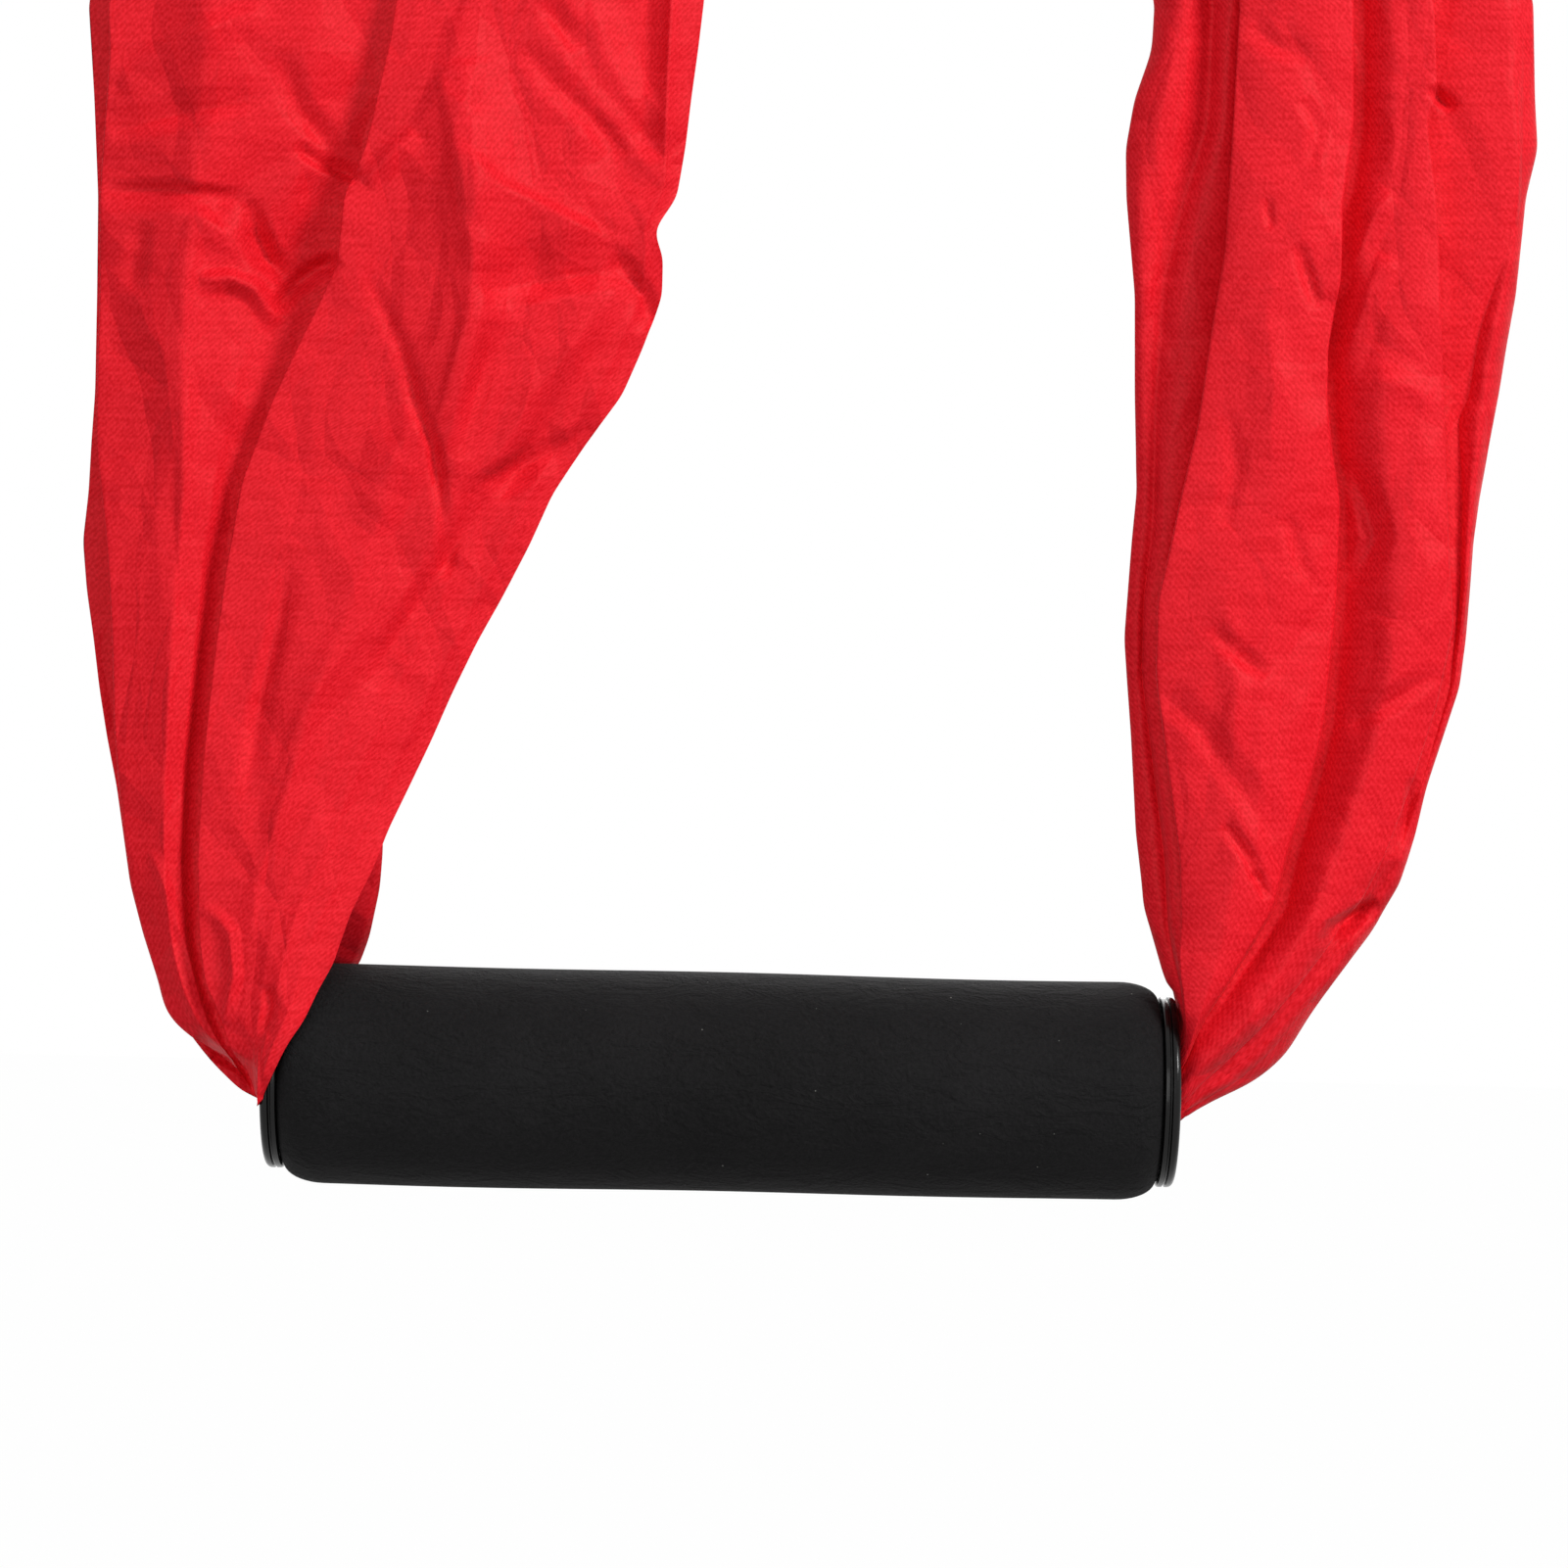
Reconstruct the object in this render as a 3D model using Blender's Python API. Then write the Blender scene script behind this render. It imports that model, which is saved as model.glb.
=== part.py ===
"""Hand loop of a yoga trapeze swing: a red fabric strip through a foam grip, on a sling and a snap hook.

The origin is the point inside the hook's top bow that rests on whatever the loop hangs from.
+Z is up, the grip lies along X and the front faces -Y. Every length is in metres.
The strip is one long band. It runs through the grip, up both sides as loose folds, and over the sling.
"""

import math

import bmesh
import bpy
from mathutils import Matrix, Vector

# Clearances that every piece shares
seat_gap = 0.0003  # between pieces that touch
pin_gap = 0.0002  # between a pin and its hole
cut_overrun = 0.002  # how far a cutter passes the piece that it cuts
weld_distance = 0.00001
sharp_angle = 35  # degrees, above which an edge stays sharp

# Foam sleeve of the grip
foam_length = 0.1230
foam_radius = 0.0155
foam_corner_length = 0.0055
foam_corner_depth = 0.0026
foam_corner_steps = 6
grip_sides = 40

# Hard tube inside the foam
tube_radius = 0.0120
tube_wall = 0.0015
tube_edge = 0.0003

# Turned collars that close the tube's ends
collar_radius = 0.01345
collar_thickness = 0.0023
collar_edge = 0.0008
collar_groove_depth = 0.0004
collar_groove_width = 0.0005
spigot_length = 0.0140
spigot_wall = 0.0013
mouth_flare = 0.0015
round_steps = 4

# Fabric strip, gathered into a bundle inside the grip and over the sling
bundle_height = 0.0130
bundle_groove = 0.0009
bundle_groove_spacing = 0.0042
bend_radius = 0.0010
leg_reach = 0.0659  # from the grip's middle, where the outline shares below are 1
leg_depth = 0.0105
leg_edge = 0.0011
leg_squareness = 2.6  # exponent of the loose section: 2 is an ellipse, more is boxier
fold_depth = 0.0085
fold_width = 0.0052
loop_height = 0.3300  # from the sling's lower bight down to the grip's axis
loop_shift = 0.0060  # how far the grip's middle hangs left of the hook, so that the weight is under it

# Rope sling between the hook and the strip
rope_radius = 0.0040
sling_length = 0.0600  # between the middles of the hook's bar and of the rope below it
sling_low_radius = 0.0135
sling_arc_steps = 14
sling_run_steps = 4
sleeve_length = 0.0240
sleeve_wall = 0.0007

# Snap hook
hook_wire_radius = 0.0040
hook_bow_radius = 0.0190
hook_corner_radius = 0.0090
hook_inner_height = 0.0640
hook_sides = 14
bow_steps = 12
corner_steps = 5
tongue_thickness = 0.0028
tongue_radius = 0.0034
nose_drop = 0.0050  # from the bow's middle down to the latch pin
hinge_stub = 0.0004  # straight wire between the lower corner and the gate
tongue_reach = 0.0025  # how far a tongue runs back into the wire
tongue_steps = 8

# Gate of the snap hook
gate_radius = 0.0038
gate_edge = 0.0008
gate_tip_radius = 0.0011
gate_end_gap = 0.0006
gate_steps = 5
slot_clearance = 0.0004
latch_pin_radius = 0.0013
hinge_pin_radius = 0.0014
hinge_pin_head = 0.0021
hinge_pin_head_height = 0.0007
pin_sides = 16
plunger_radius = 0.0014
plunger_length = 0.0050
gate_bore_length = 0.0150
spring_wire_radius = 0.0002
spring_radius = 0.0012
spring_turns = 9
spring_points_per_turn = 10

# Places along the leg, as shares of loop_height, of the grip's half length and of leg_depth.
# Each row is height, inner edge, outer edge, half depth.
left_leg_shares = (
    (0.061, 0.750, 1.258, 1.04),
    (0.102, 0.733, 1.305, 1.04),
    (0.144, 0.645, 1.343, 1.00),
    (0.208, 0.495, 1.395, 0.98),
    (0.271, 0.328, 1.392, 0.98),
    (0.335, 0.168, 1.388, 1.00),
    (0.398, 0.121, 1.396, 1.00),
    (0.461, 0.088, 1.419, 0.98),
    (0.600, 0.045, 1.270, 0.96),
    (0.760, 0.010, 0.860, 0.88),
    (0.900, -0.020, 0.400, 0.80),
)
right_leg_shares = (
    (0.061, 0.926, 1.358, 1.04),
    (0.102, 0.880, 1.464, 1.06),
    (0.144, 0.870, 1.514, 1.06),
    (0.208, 0.847, 1.583, 1.06),
    (0.271, 0.859, 1.613, 1.04),
    (0.335, 0.854, 1.663, 1.04),
    (0.398, 0.824, 1.700, 1.00),
    (0.461, 0.877, 1.703, 0.98),
    (0.600, 0.760, 1.600, 0.96),
    (0.760, 0.500, 1.200, 0.88),
    (0.900, 0.250, 0.700, 0.80),
)
# One list for each main fold. Each row is height, place between the leg's inner and outer edge, and
# how deep the fold is there, as a share of fold_depth.
left_front_fold_shares = (
    (
        (0.04, 0.66, 0.40), (0.08, 0.70, 0.48), (0.16, 0.68, 0.50), (0.25, 0.66, 0.62), (0.31, 0.64, 0.80),
        (0.38, 0.58, 0.84), (0.46, 0.51, 0.84), (0.75, 0.52, 0.84), (1.00, 0.54, 0.84),
    ),
    ((0.10, 0.16, 0.00), (0.25, 0.12, 0.06), (0.38, 0.09, 0.24), (0.46, 0.09, 0.48), (1.00, 0.10, 0.48)),
)
left_back_fold_shares = (
    (
        (0.04, 0.74, 0.30), (0.08, 0.74, 0.56), (0.16, 0.71, 0.68), (0.31, 0.76, 0.68), (0.46, 0.78, 0.66),
        (1.00, 0.78, 0.62),
    ),
    (
        (0.04, 0.50, 0.00), (0.08, 0.49, 0.24), (0.16, 0.43, 0.46), (0.31, 0.43, 0.64), (0.46, 0.45, 0.68),
        (1.00, 0.45, 0.64),
    ),
    ((0.08, 0.13, 0.00), (0.16, 0.13, 0.14), (0.31, 0.10, 0.26), (0.46, 0.11, 0.34), (1.00, 0.11, 0.34)),
)
right_front_fold_shares = (
    (
        (0.06, 0.09, 0.00), (0.12, 0.08, 0.22), (0.20, 0.07, 0.28), (0.31, 0.14, 0.44), (0.38, 0.20, 0.60),
        (1.00, 0.20, 0.60),
    ),
    (
        (0.03, 0.52, 0.30), (0.08, 0.55, 0.50), (0.12, 0.60, 0.60), (0.20, 0.62, 0.62), (0.31, 0.54, 0.80),
        (0.46, 0.54, 0.86), (1.00, 0.54, 0.86),
    ),
    (
        (0.06, 0.92, 0.00), (0.20, 0.96, 0.14), (0.31, 0.88, 0.48), (0.38, 0.86, 0.56), (0.46, 0.83, 0.60),
        (1.00, 0.83, 0.56),
    ),
)
right_back_fold_shares = (
    (
        (0.04, 0.66, 0.24), (0.08, 0.67, 0.54), (0.16, 0.74, 0.66), (0.31, 0.75, 0.70), (0.46, 0.73, 0.72),
        (1.00, 0.73, 0.68),
    ),
    (
        (0.04, 0.33, 0.00), (0.08, 0.34, 0.26), (0.16, 0.40, 0.48), (0.31, 0.42, 0.64), (0.46, 0.41, 0.70),
        (1.00, 0.41, 0.66),
    ),
    ((0.08, 0.10, 0.00), (0.16, 0.08, 0.10), (0.31, 0.08, 0.24), (0.46, 0.07, 0.30), (1.00, 0.08, 0.30)),
)
front_points = 20
back_points = 16
end_crowding_share = 0.35  # how much closer the points of a section lie at its two edges
lower_gather_share = 0.12  # share of the rise over which the tight bundle opens to the loose leg
upper_gather_share = 0.22  # and over which it closes again
fan_steps = 5
leg_steps = 24
crown_steps = 12
core_steps = 3

# Places that follow from the sizes above
hook_bar_z = -hook_inner_height - hook_wire_radius
bow_centre_z = hook_wire_radius - hook_bow_radius
rope_low_z = hook_bar_z - sling_length
grip_z = rope_low_z - loop_height
grip_x = -loop_shift
tube_bore = tube_radius - tube_wall
spigot_radius = tube_bore - seat_gap
spigot_bore = spigot_radius - spigot_wall
bundle_radius = spigot_bore - seat_gap
crown_radius = sling_low_radius - rope_radius - seat_gap
mouth_x = foam_length / 2 + seat_gap + collar_thickness
hinge_pin_z = hook_bar_z + hook_corner_radius + hinge_stub + seat_gap + gate_radius
latch_pin_z = bow_centre_z - nose_drop


def material(name, colour, roughness, metallic=0.0):
    """Principled material from an RGB colour."""
    made = bpy.data.materials.new(name)
    made.use_nodes = True
    shader = made.node_tree.nodes["Principled BSDF"]
    shader.inputs["Base Color"].default_value = (*colour, 1.0)
    shader.inputs["Roughness"].default_value = roughness
    shader.inputs["Metallic"].default_value = metallic
    return made


def placed(name, bm, finish, place=(0, 0, 0)):
    """Object of its own from a bmesh, with outward faces, smooth round sides and one material."""
    bmesh.ops.remove_doubles(bm, verts=bm.verts, dist=weld_distance)
    bmesh.ops.recalc_face_normals(bm, faces=bm.faces)
    mesh = bpy.data.meshes.new(name)
    bm.to_mesh(mesh)
    bm.free()
    mesh.shade_smooth()
    mesh.set_sharp_from_angle(angle=math.radians(sharp_angle))
    mesh.materials.append(finish)
    made = bpy.data.objects.new(name, mesh)
    made.location = place
    bpy.context.scene.collection.objects.link(made)
    return made


def turned(profile, sides, closed=True):
    """Turn a profile of (along X, radius) about the X axis. An open profile starts and ends on the axis."""
    bm = bmesh.new()
    points = [bm.verts.new((along, 0, radius)) for along, radius in profile]
    followers = points[1:] + points[:1] if closed else points[1:]
    edges = [bm.edges.new(pair) for pair in zip(points, followers)]
    bmesh.ops.spin(
        bm, geom=points + edges, cent=(0, 0, 0), axis=(1, 0, 0), angle=math.tau, steps=sides, use_merge=True
    )
    return bm


def lofted(rings):
    """Skin rings of as many points each, and close both ends with a flat face."""
    bm = bmesh.new()
    rows = [[bm.verts.new(point) for point in ring] for ring in rings]
    for low, high in zip(rows, rows[1:]):
        for i in range(len(low)):
            j = (i + 1) % len(low)
            bm.faces.new((low[i], low[j], high[j], high[i]))
    bm.faces.new(rows[0])
    bm.faces.new(rows[-1])
    return bm


def arc(centre, radii, start, end, steps):
    """Points on an elliptical arc between two angles in degrees."""
    angles = [math.radians(start + (end - start) * i / steps) for i in range(steps + 1)]
    return [(centre[0] + radii[0] * math.cos(a), centre[1] + radii[1] * math.sin(a)) for a in angles]


def read_table(rows, at, column=1):
    """Value of a column at a place, on a smooth curve through the rows that never swings past them."""
    places = [row[0] for row in rows]
    values = [row[column] for row in rows]
    if at <= places[0]:
        return values[0]
    if at >= places[-1]:
        return values[-1]
    slopes = [(b - a) / (q - p) for a, b, p, q in zip(values, values[1:], places, places[1:])]
    tangents = [slopes[0]]
    for before, after in zip(slopes, slopes[1:]):
        tangents.append(0.0 if before * after <= 0 else 2 * before * after / (before + after))
    tangents.append(slopes[-1])
    i = max(k for k in range(len(places) - 1) if places[k] <= at)
    span = places[i + 1] - places[i]
    s = (at - places[i]) / span
    return (
        values[i] * (1 + 2 * s) * (1 - s) ** 2
        + values[i + 1] * s * s * (3 - 2 * s)
        + span * (tangents[i] * s * (1 - s) ** 2 - tangents[i + 1] * s * s * (1 - s))
    )


def cut(piece, cutter_mesh, name, place=(0, 0, 0)):
    """Take a cutter's shape out of a piece and keep the cutter as a hidden guide."""
    cutter = placed(name, cutter_mesh, piece.data.materials[0], place)
    cutter.hide_render = True
    cutter.display_type = "WIRE"
    boolean = piece.modifiers.new(name, "BOOLEAN")
    boolean.operation = "DIFFERENCE"
    boolean.solver = "EXACT"
    boolean.object = cutter


def block(size):
    """Box about the origin."""
    bm = bmesh.new()
    bmesh.ops.create_cube(bm, size=1.0, matrix=Matrix.Diagonal((*size, 1.0)))
    return bm


def rod_along_y(radius, length, sides):
    """Plain rod about the origin, along Y."""
    bm = bmesh.new()
    bmesh.ops.create_cone(
        bm,
        cap_ends=True,
        segments=sides,
        radius1=radius,
        radius2=radius,
        depth=length,
        matrix=Matrix.Rotation(math.radians(90), 4, "X"),
    )
    return bm


def foam_grip(finish):
    """Foam sleeve with rounded ends that thin down to the tube."""
    half = foam_length / 2
    bore = tube_radius + seat_gap
    end_radius = foam_radius - foam_corner_depth
    corner_x = half - foam_corner_length
    corner = (foam_corner_length, foam_corner_depth)
    profile = [(-half, bore), (-half, end_radius)]
    profile += arc((-corner_x, end_radius), corner, 180, 90, foam_corner_steps)[1:]
    profile += arc((corner_x, end_radius), corner, 90, 0, foam_corner_steps)
    profile += [(half, bore)]
    return placed("foam_grip", turned(profile, grip_sides), finish, (grip_x, 0, grip_z))


def grip_tube(finish):
    """Hard tube that carries the foam, with its four edges broken."""
    half = foam_length / 2
    profile = []
    for end in (-1, 1):
        edge = [
            (half - tube_edge, tube_bore),
            (half, tube_bore + tube_edge),
            (half, tube_radius - tube_edge),
            (half - tube_edge, tube_radius),
        ]
        ordered = edge if end > 0 else edge[::-1]
        profile += [(end * along, radius) for along, radius in ordered]
    return placed("grip_tube", turned(profile, grip_sides), finish, (grip_x, 0, grip_z))


def end_collar(name, side, finish):
    """Turned end piece: a spigot inside the tube, a grooved flange outside it and a flared mouth."""
    seat = foam_length / 2 + seat_gap
    face = seat + collar_thickness
    groove_middle = seat + collar_thickness / 2
    groove_floor = collar_radius - collar_groove_depth
    flare_x = face - mouth_flare
    profile = [(seat - spigot_length, spigot_bore), (seat - spigot_length, spigot_radius)]
    profile += [(seat, spigot_radius)]
    inner_edge = collar_edge / 2
    profile += arc((seat + inner_edge, collar_radius - inner_edge), (inner_edge,) * 2, 180, 90, 2)
    profile += [
        (groove_middle - collar_groove_width / 2, collar_radius),
        (groove_middle, groove_floor),
        (groove_middle + collar_groove_width / 2, collar_radius),
    ]
    profile += arc((face - collar_edge, collar_radius - collar_edge), (collar_edge,) * 2, 90, 0, round_steps)
    profile += arc((flare_x, spigot_bore + mouth_flare), (mouth_flare,) * 2, 0, -90, round_steps)
    mirrored = [(side * along, radius) for along, radius in profile]
    return placed(name, turned(mirrored, grip_sides), finish, (grip_x, 0, grip_z))


def share_steps(count):
    """Shares from 0 to 1, a little closer together at both ends."""
    even = [i / count for i in range(count + 1)]
    crowded = [(1 - math.cos(math.pi * u)) / 2 for u in even]
    return [u + end_crowding_share * (c - u) for u, c in zip(even, crowded)]


def bundle_half_depth(along, radius):
    """Half depth of the gathered bundle: a round bottom, cut flat at the bundle's height."""
    return math.sqrt(max(radius**2 - (along - radius) ** 2, leg_edge**2))


def bundle_ripple(along):
    """Small lengthwise grooves where the gathered fabric is folded on itself."""
    return bundle_groove * math.sin(math.pi * along / bundle_groove_spacing) ** 2


def cloth_side(along, width, depth, looseness, folds, ripple):
    """How far the cloth stands out on one side of its section, at a place along the section's width.

    looseness goes from 0 for the tight bundle to 1 for the loose leg. Each fold is its place along the
    width and its depth.
    """
    middle_share = abs(2 * along / width - 1)
    loose = depth * math.sqrt(max(1 - middle_share**leg_squareness, 0))
    for place, size in folds:
        loose -= size * math.exp(-(((along - place) / fold_width) ** 2))
    tight = bundle_half_depth(along, min(depth, width)) - ripple
    return max(looseness * loose + (1 - looseness) * tight, leg_edge)


def cloth_section(width, depth, looseness, front_folds, back_folds):
    """Closed section as (along, y): the front with its folds from edge to edge, then the back."""
    front, back = [], []
    for u in share_steps(front_points):
        along = u * width
        ripple = bundle_ripple(along)
        front.append((along, -cloth_side(along, width, depth, looseness, front_folds, ripple)))
    for u in share_steps(back_points)[::-1]:
        along = u * width
        back.append((along, cloth_side(along, width, depth, looseness, back_folds, 0.0)))
    return front + back


def fabric_leg(name, side, outline_shares, front_fold_shares, back_fold_shares, finish):
    """One side of the strip: out of the collar, round its lip, up as loose folds and in to the sling."""
    rings = []
    pivot = Vector((mouth_x + seat_gap, bundle_radius + bend_radius))
    for i in range(fan_steps + 1):
        angle = math.radians(90) * i / fan_steps
        outward = Vector((math.sin(angle), -math.cos(angle)))
        ring = []
        for along, y in cloth_section(bundle_height, bundle_radius, 0.0, (), ()):
            spot = pivot + outward * (bend_radius + along)
            ring.append((grip_x + side * spot.x, y, grip_z + spot.y))
        rings.append(ring)
    # The leg passes the collar's rim and the foam's top before it spreads over the grip
    bundle_outer = pivot.x + bend_radius + bundle_height
    top_inner = side * (rope_radius + seat_gap) - grip_x
    top_outer = side * (rope_radius + seat_gap + bundle_height) - grip_x
    rows = [
        (pivot.y, pivot.x + bend_radius, bundle_outer, bundle_radius),
        (collar_radius + seat_gap, mouth_x + seat_gap, bundle_outer + seat_gap, bundle_radius),
        (foam_radius + 2 * seat_gap, mouth_x - foam_corner_length, bundle_outer + bend_radius, bundle_radius),
    ]
    for height, inner, outer, depth in outline_shares:
        rows.append((height * loop_height, inner * leg_reach, outer * leg_reach, depth * leg_depth))
    rows.append((loop_height - seat_gap, side * top_inner, side * top_outer, crown_radius))
    first, last = rows[0][0], rows[-1][0]
    heights = [row[0] for row in rows[1:3]]
    heights += [rows[2][0] + (last - rows[2][0]) * i / leg_steps for i in range(1, leg_steps + 1)]
    for height in heights:
        inner = read_table(rows, height, 1)
        width = read_table(rows, height, 2) - inner
        depth = read_table(rows, height, 3)
        rise = (height - first) / (last - first)
        looseness = min(1.0, rise / lower_gather_share, (1 - rise) / upper_gather_share)
        folds = [
            [
                (read_table(rows_of_fold, height / loop_height, 1) * width,
                 read_table(rows_of_fold, height / loop_height, 2) * fold_depth)
                for rows_of_fold in side_shares
            ]
            for side_shares in (front_fold_shares, back_fold_shares)
        ]
        ring = []
        for along, y in cloth_section(width, depth, looseness, *folds):
            ring.append((grip_x + side * (inner + along), y, grip_z + height))
        rings.append(ring)
    return placed(name, lofted(rings), finish)


def fabric_core(finish):
    """The gathered strip inside the grip, up against the top of the collars' bores."""
    rings = []
    for i in range(core_steps + 1):
        x = -mouth_x + 2 * mouth_x * i / core_steps
        section = cloth_section(bundle_height, bundle_radius, 0.0, (), ())
        rings.append([(x, y, bundle_radius - along) for along, y in section])
    return placed("fabric_in_grip", lofted(rings), finish, (grip_x, 0, grip_z))


def fabric_crown(finish):
    """The gathered strip where it arches over the sling's lower bight."""
    rings = []
    for i in range(crown_steps + 1):
        angle = math.pi * (i / crown_steps - 0.5)
        ring = []
        for along, y in cloth_section(bundle_height, crown_radius, 0.0, (), ()):
            reach = rope_radius + seat_gap + along
            ring.append((reach * math.sin(angle), y, reach * math.cos(angle)))
        rings.append(ring)
    return placed("fabric_crown", lofted(rings), finish, (0, 0, rope_low_z))


def sling_lean():
    """Angle by which the sling's two runs lean towards each other."""
    high_radius = hook_wire_radius + seat_gap + rope_radius
    return math.asin((sling_low_radius - high_radius) / (sling_length - sling_low_radius))


def rope_sling(finish):
    """Endless rope: a tight bight over the hook's bar, two straight runs and a wider bight below."""
    lean = math.degrees(sling_lean())
    high_radius = hook_wire_radius + seat_gap + rope_radius
    low_centre_z = rope_low_z + sling_low_radius
    high = arc((0, hook_bar_z), (high_radius,) * 2, lean, 180 - lean, sling_arc_steps)
    low = arc((0, low_centre_z), (sling_low_radius,) * 2, 180 - lean, 360 + lean, sling_arc_steps)
    route = high + run_between(high[-1], low[0]) + low + run_between(low[-1], high[0])
    curve = bpy.data.curves.new("rope_sling", "CURVE")
    curve.dimensions = "3D"
    curve.bevel_depth = rope_radius
    curve.bevel_resolution = 3
    spline = curve.splines.new("POLY")
    spline.points.add(len(route) - 1)
    for point, (y, z) in zip(spline.points, route):
        point.co = (0, y, z, 1)
    spline.use_cyclic_u = True
    curve.materials.append(finish)
    made = bpy.data.objects.new("rope_sling", curve)
    bpy.context.scene.collection.objects.link(made)
    return made


def run_between(start, end):
    """Points between two ends, without the ends themselves."""
    shares = [i / sling_run_steps for i in range(1, sling_run_steps)]
    return [(start[0] + (end[0] - start[0]) * s, start[1] + (end[1] - start[1]) * s) for s in shares]


def splice_sleeve(finish):
    """Shrunk sleeve over the place where the rope's two ends are joined, half-way up one run."""
    inner = rope_radius + seat_gap
    half = sleeve_length / 2
    profile = [
        (-half, inner),
        (-half, inner + sleeve_wall / 2),
        (-half + sleeve_wall, inner + sleeve_wall),
        (half - sleeve_wall, inner + sleeve_wall),
        (half, inner + sleeve_wall / 2),
        (half, inner),
    ]
    lean = sling_lean()
    high_radius = hook_wire_radius + seat_gap + rope_radius
    low_centre_z = rope_low_z + sling_low_radius
    made = placed("splice_sleeve", turned(profile, pin_sides), finish)
    made.rotation_euler = (0, math.radians(90), 0)
    made.rotation_euler.rotate(Matrix.Rotation(lean, 3, "X"))
    made.location = (
        0,
        (high_radius + sling_low_radius) / 2 * math.cos(lean),
        (hook_bar_z + low_centre_z) / 2 + (high_radius + sling_low_radius) / 2 * math.sin(lean),
    )
    return made


def hook_route():
    """Middle line of the hook's wire as (x, z): from the nose over the bow, down the spine to the hinge."""
    low_z = hook_bar_z + hook_corner_radius
    side = hook_bow_radius
    flat = side - hook_corner_radius
    corner = (hook_corner_radius,) * 2
    nose_z = latch_pin_z + gate_radius + gate_end_gap
    hinge_z = low_z + hinge_stub
    route = [(side, nose_z)]
    route += arc((0, bow_centre_z), (side, side), 0, 180, bow_steps)
    route += arc((-flat, low_z), corner, 180, 270, corner_steps)
    route += arc((flat, low_z), corner, 270, 360, corner_steps)
    route += [(side, hinge_z)]
    return route


def wire_rings(route, radius, sides):
    """Rings of a round wire along a route in the XZ plane."""
    rings = []
    for i, (x, z) in enumerate(route):
        before = Vector(route[max(i - 1, 0)])
        after = Vector(route[min(i + 1, len(route) - 1)])
        along = (after - before).normalized()
        if i in (0, len(route) - 1):
            along = Vector((0, 1))
        across = Vector((-along.y, along.x))
        ring = []
        for k in range(sides):
            turn = math.tau * k / sides
            spot = Vector((x, z)) + across * radius * math.cos(turn)
            ring.append((spot.x, radius * math.sin(turn), spot.y))
        rings.append(ring)
    return rings


def tongue(name, pin_z, direction, finish):
    """Flat tongue with a round end about its pin, running back into the hook's wire."""
    ends = arc((0, 0), (tongue_radius,) * 2, 0, 180, tongue_steps)
    outline = [(x, -direction * z) for x, z in ends]
    back = gate_radius + gate_end_gap + tongue_reach
    outline += [(-tongue_radius, direction * back), (tongue_radius, direction * back)]
    rings = []
    for y in (-tongue_thickness / 2, tongue_thickness / 2):
        rings.append([(x, y, z) for x, z in outline])
    made = placed(name, lofted(rings), finish, (hook_bow_radius, 0, pin_z))
    made.hide_render = True
    made.display_type = "WIRE"
    return made


def hook_body(finish):
    """Round wire bent to a D with a flat lower bar, and a flat tongue at each end for the gate."""
    body = placed("hook_body", lofted(wire_rings(hook_route(), hook_wire_radius, hook_sides)), finish)
    for name, pin_z, direction in (("nose_tongue", latch_pin_z, 1), ("hinge_tongue", hinge_pin_z, -1)):
        boolean = body.modifiers.new(name, "BOOLEAN")
        boolean.operation = "UNION"
        boolean.solver = "EXACT"
        boolean.object = tongue(name, pin_z, direction, finish)
    for name, pin_z, radius in (
        ("nose_hole", latch_pin_z, latch_pin_radius),
        ("hinge_hole", hinge_pin_z, hinge_pin_radius),
    ):
        hole = rod_along_y(radius + pin_gap, tongue_thickness + cut_overrun, pin_sides)
        cut(body, hole, name, (hook_bow_radius, 0, pin_z))
    return body


def hook_gate(finish):
    """Round gate with a fork at each end: the lower one turns on its pin, the upper one takes the latch pin."""
    top = latch_pin_z + gate_radius - hinge_pin_z
    ball = arc((0, 0), (gate_radius,) * 2, -90, 0, gate_steps)
    rings = []
    for radius, z in [(max(r, gate_tip_radius), z) for r, z in ball] + [
        (gate_radius, top - gate_edge),
        (gate_radius - gate_edge, top),
    ]:
        turns = [math.tau * k / hook_sides for k in range(hook_sides)]
        rings.append([(radius * math.cos(a), radius * math.sin(a), z) for a in turns])
    gate = placed("hook_gate", lofted(rings), finish, (hook_bow_radius, 0, hinge_pin_z))
    wide = 2 * (gate_radius + cut_overrun)
    slot = tongue_thickness + 2 * slot_clearance
    low_slot = gate_radius + tongue_radius + seat_gap + cut_overrun
    high_slot = tongue_radius + gate_end_gap + gate_radius + cut_overrun
    cut(
        gate,
        block((wide, slot, low_slot)),
        "hinge_slot",
        (hook_bow_radius, 0, hinge_pin_z - gate_radius - cut_overrun + low_slot / 2),
    )
    cut(
        gate,
        block((wide, slot, high_slot)),
        "latch_slot",
        (hook_bow_radius, 0, latch_pin_z + gate_radius + cut_overrun - high_slot / 2),
    )
    cut(
        gate,
        rod_along_y(hinge_pin_radius + pin_gap, wide, pin_sides),
        "gate_pin_hole",
        (hook_bow_radius, 0, hinge_pin_z),
    )
    notch_depth = latch_pin_radius + seat_gap
    notch_width = gate_radius + notch_depth + cut_overrun
    cut(
        gate,
        block((notch_width, wide, 2 * notch_depth)),
        "latch_notch",
        (hook_bow_radius - notch_depth + notch_width / 2, 0, latch_pin_z),
    )
    bore = turned(
        [
            (0, 0),
            (0, plunger_radius + pin_gap),
            (gate_bore_length, plunger_radius + pin_gap),
            (gate_bore_length, 0),
        ],
        pin_sides,
        closed=False,
    )
    turn_mesh(bore, -90, "Y")
    cut(gate, bore, "spring_bore", (hook_bow_radius, 0, hinge_pin_z + tongue_radius))
    return gate


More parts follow.
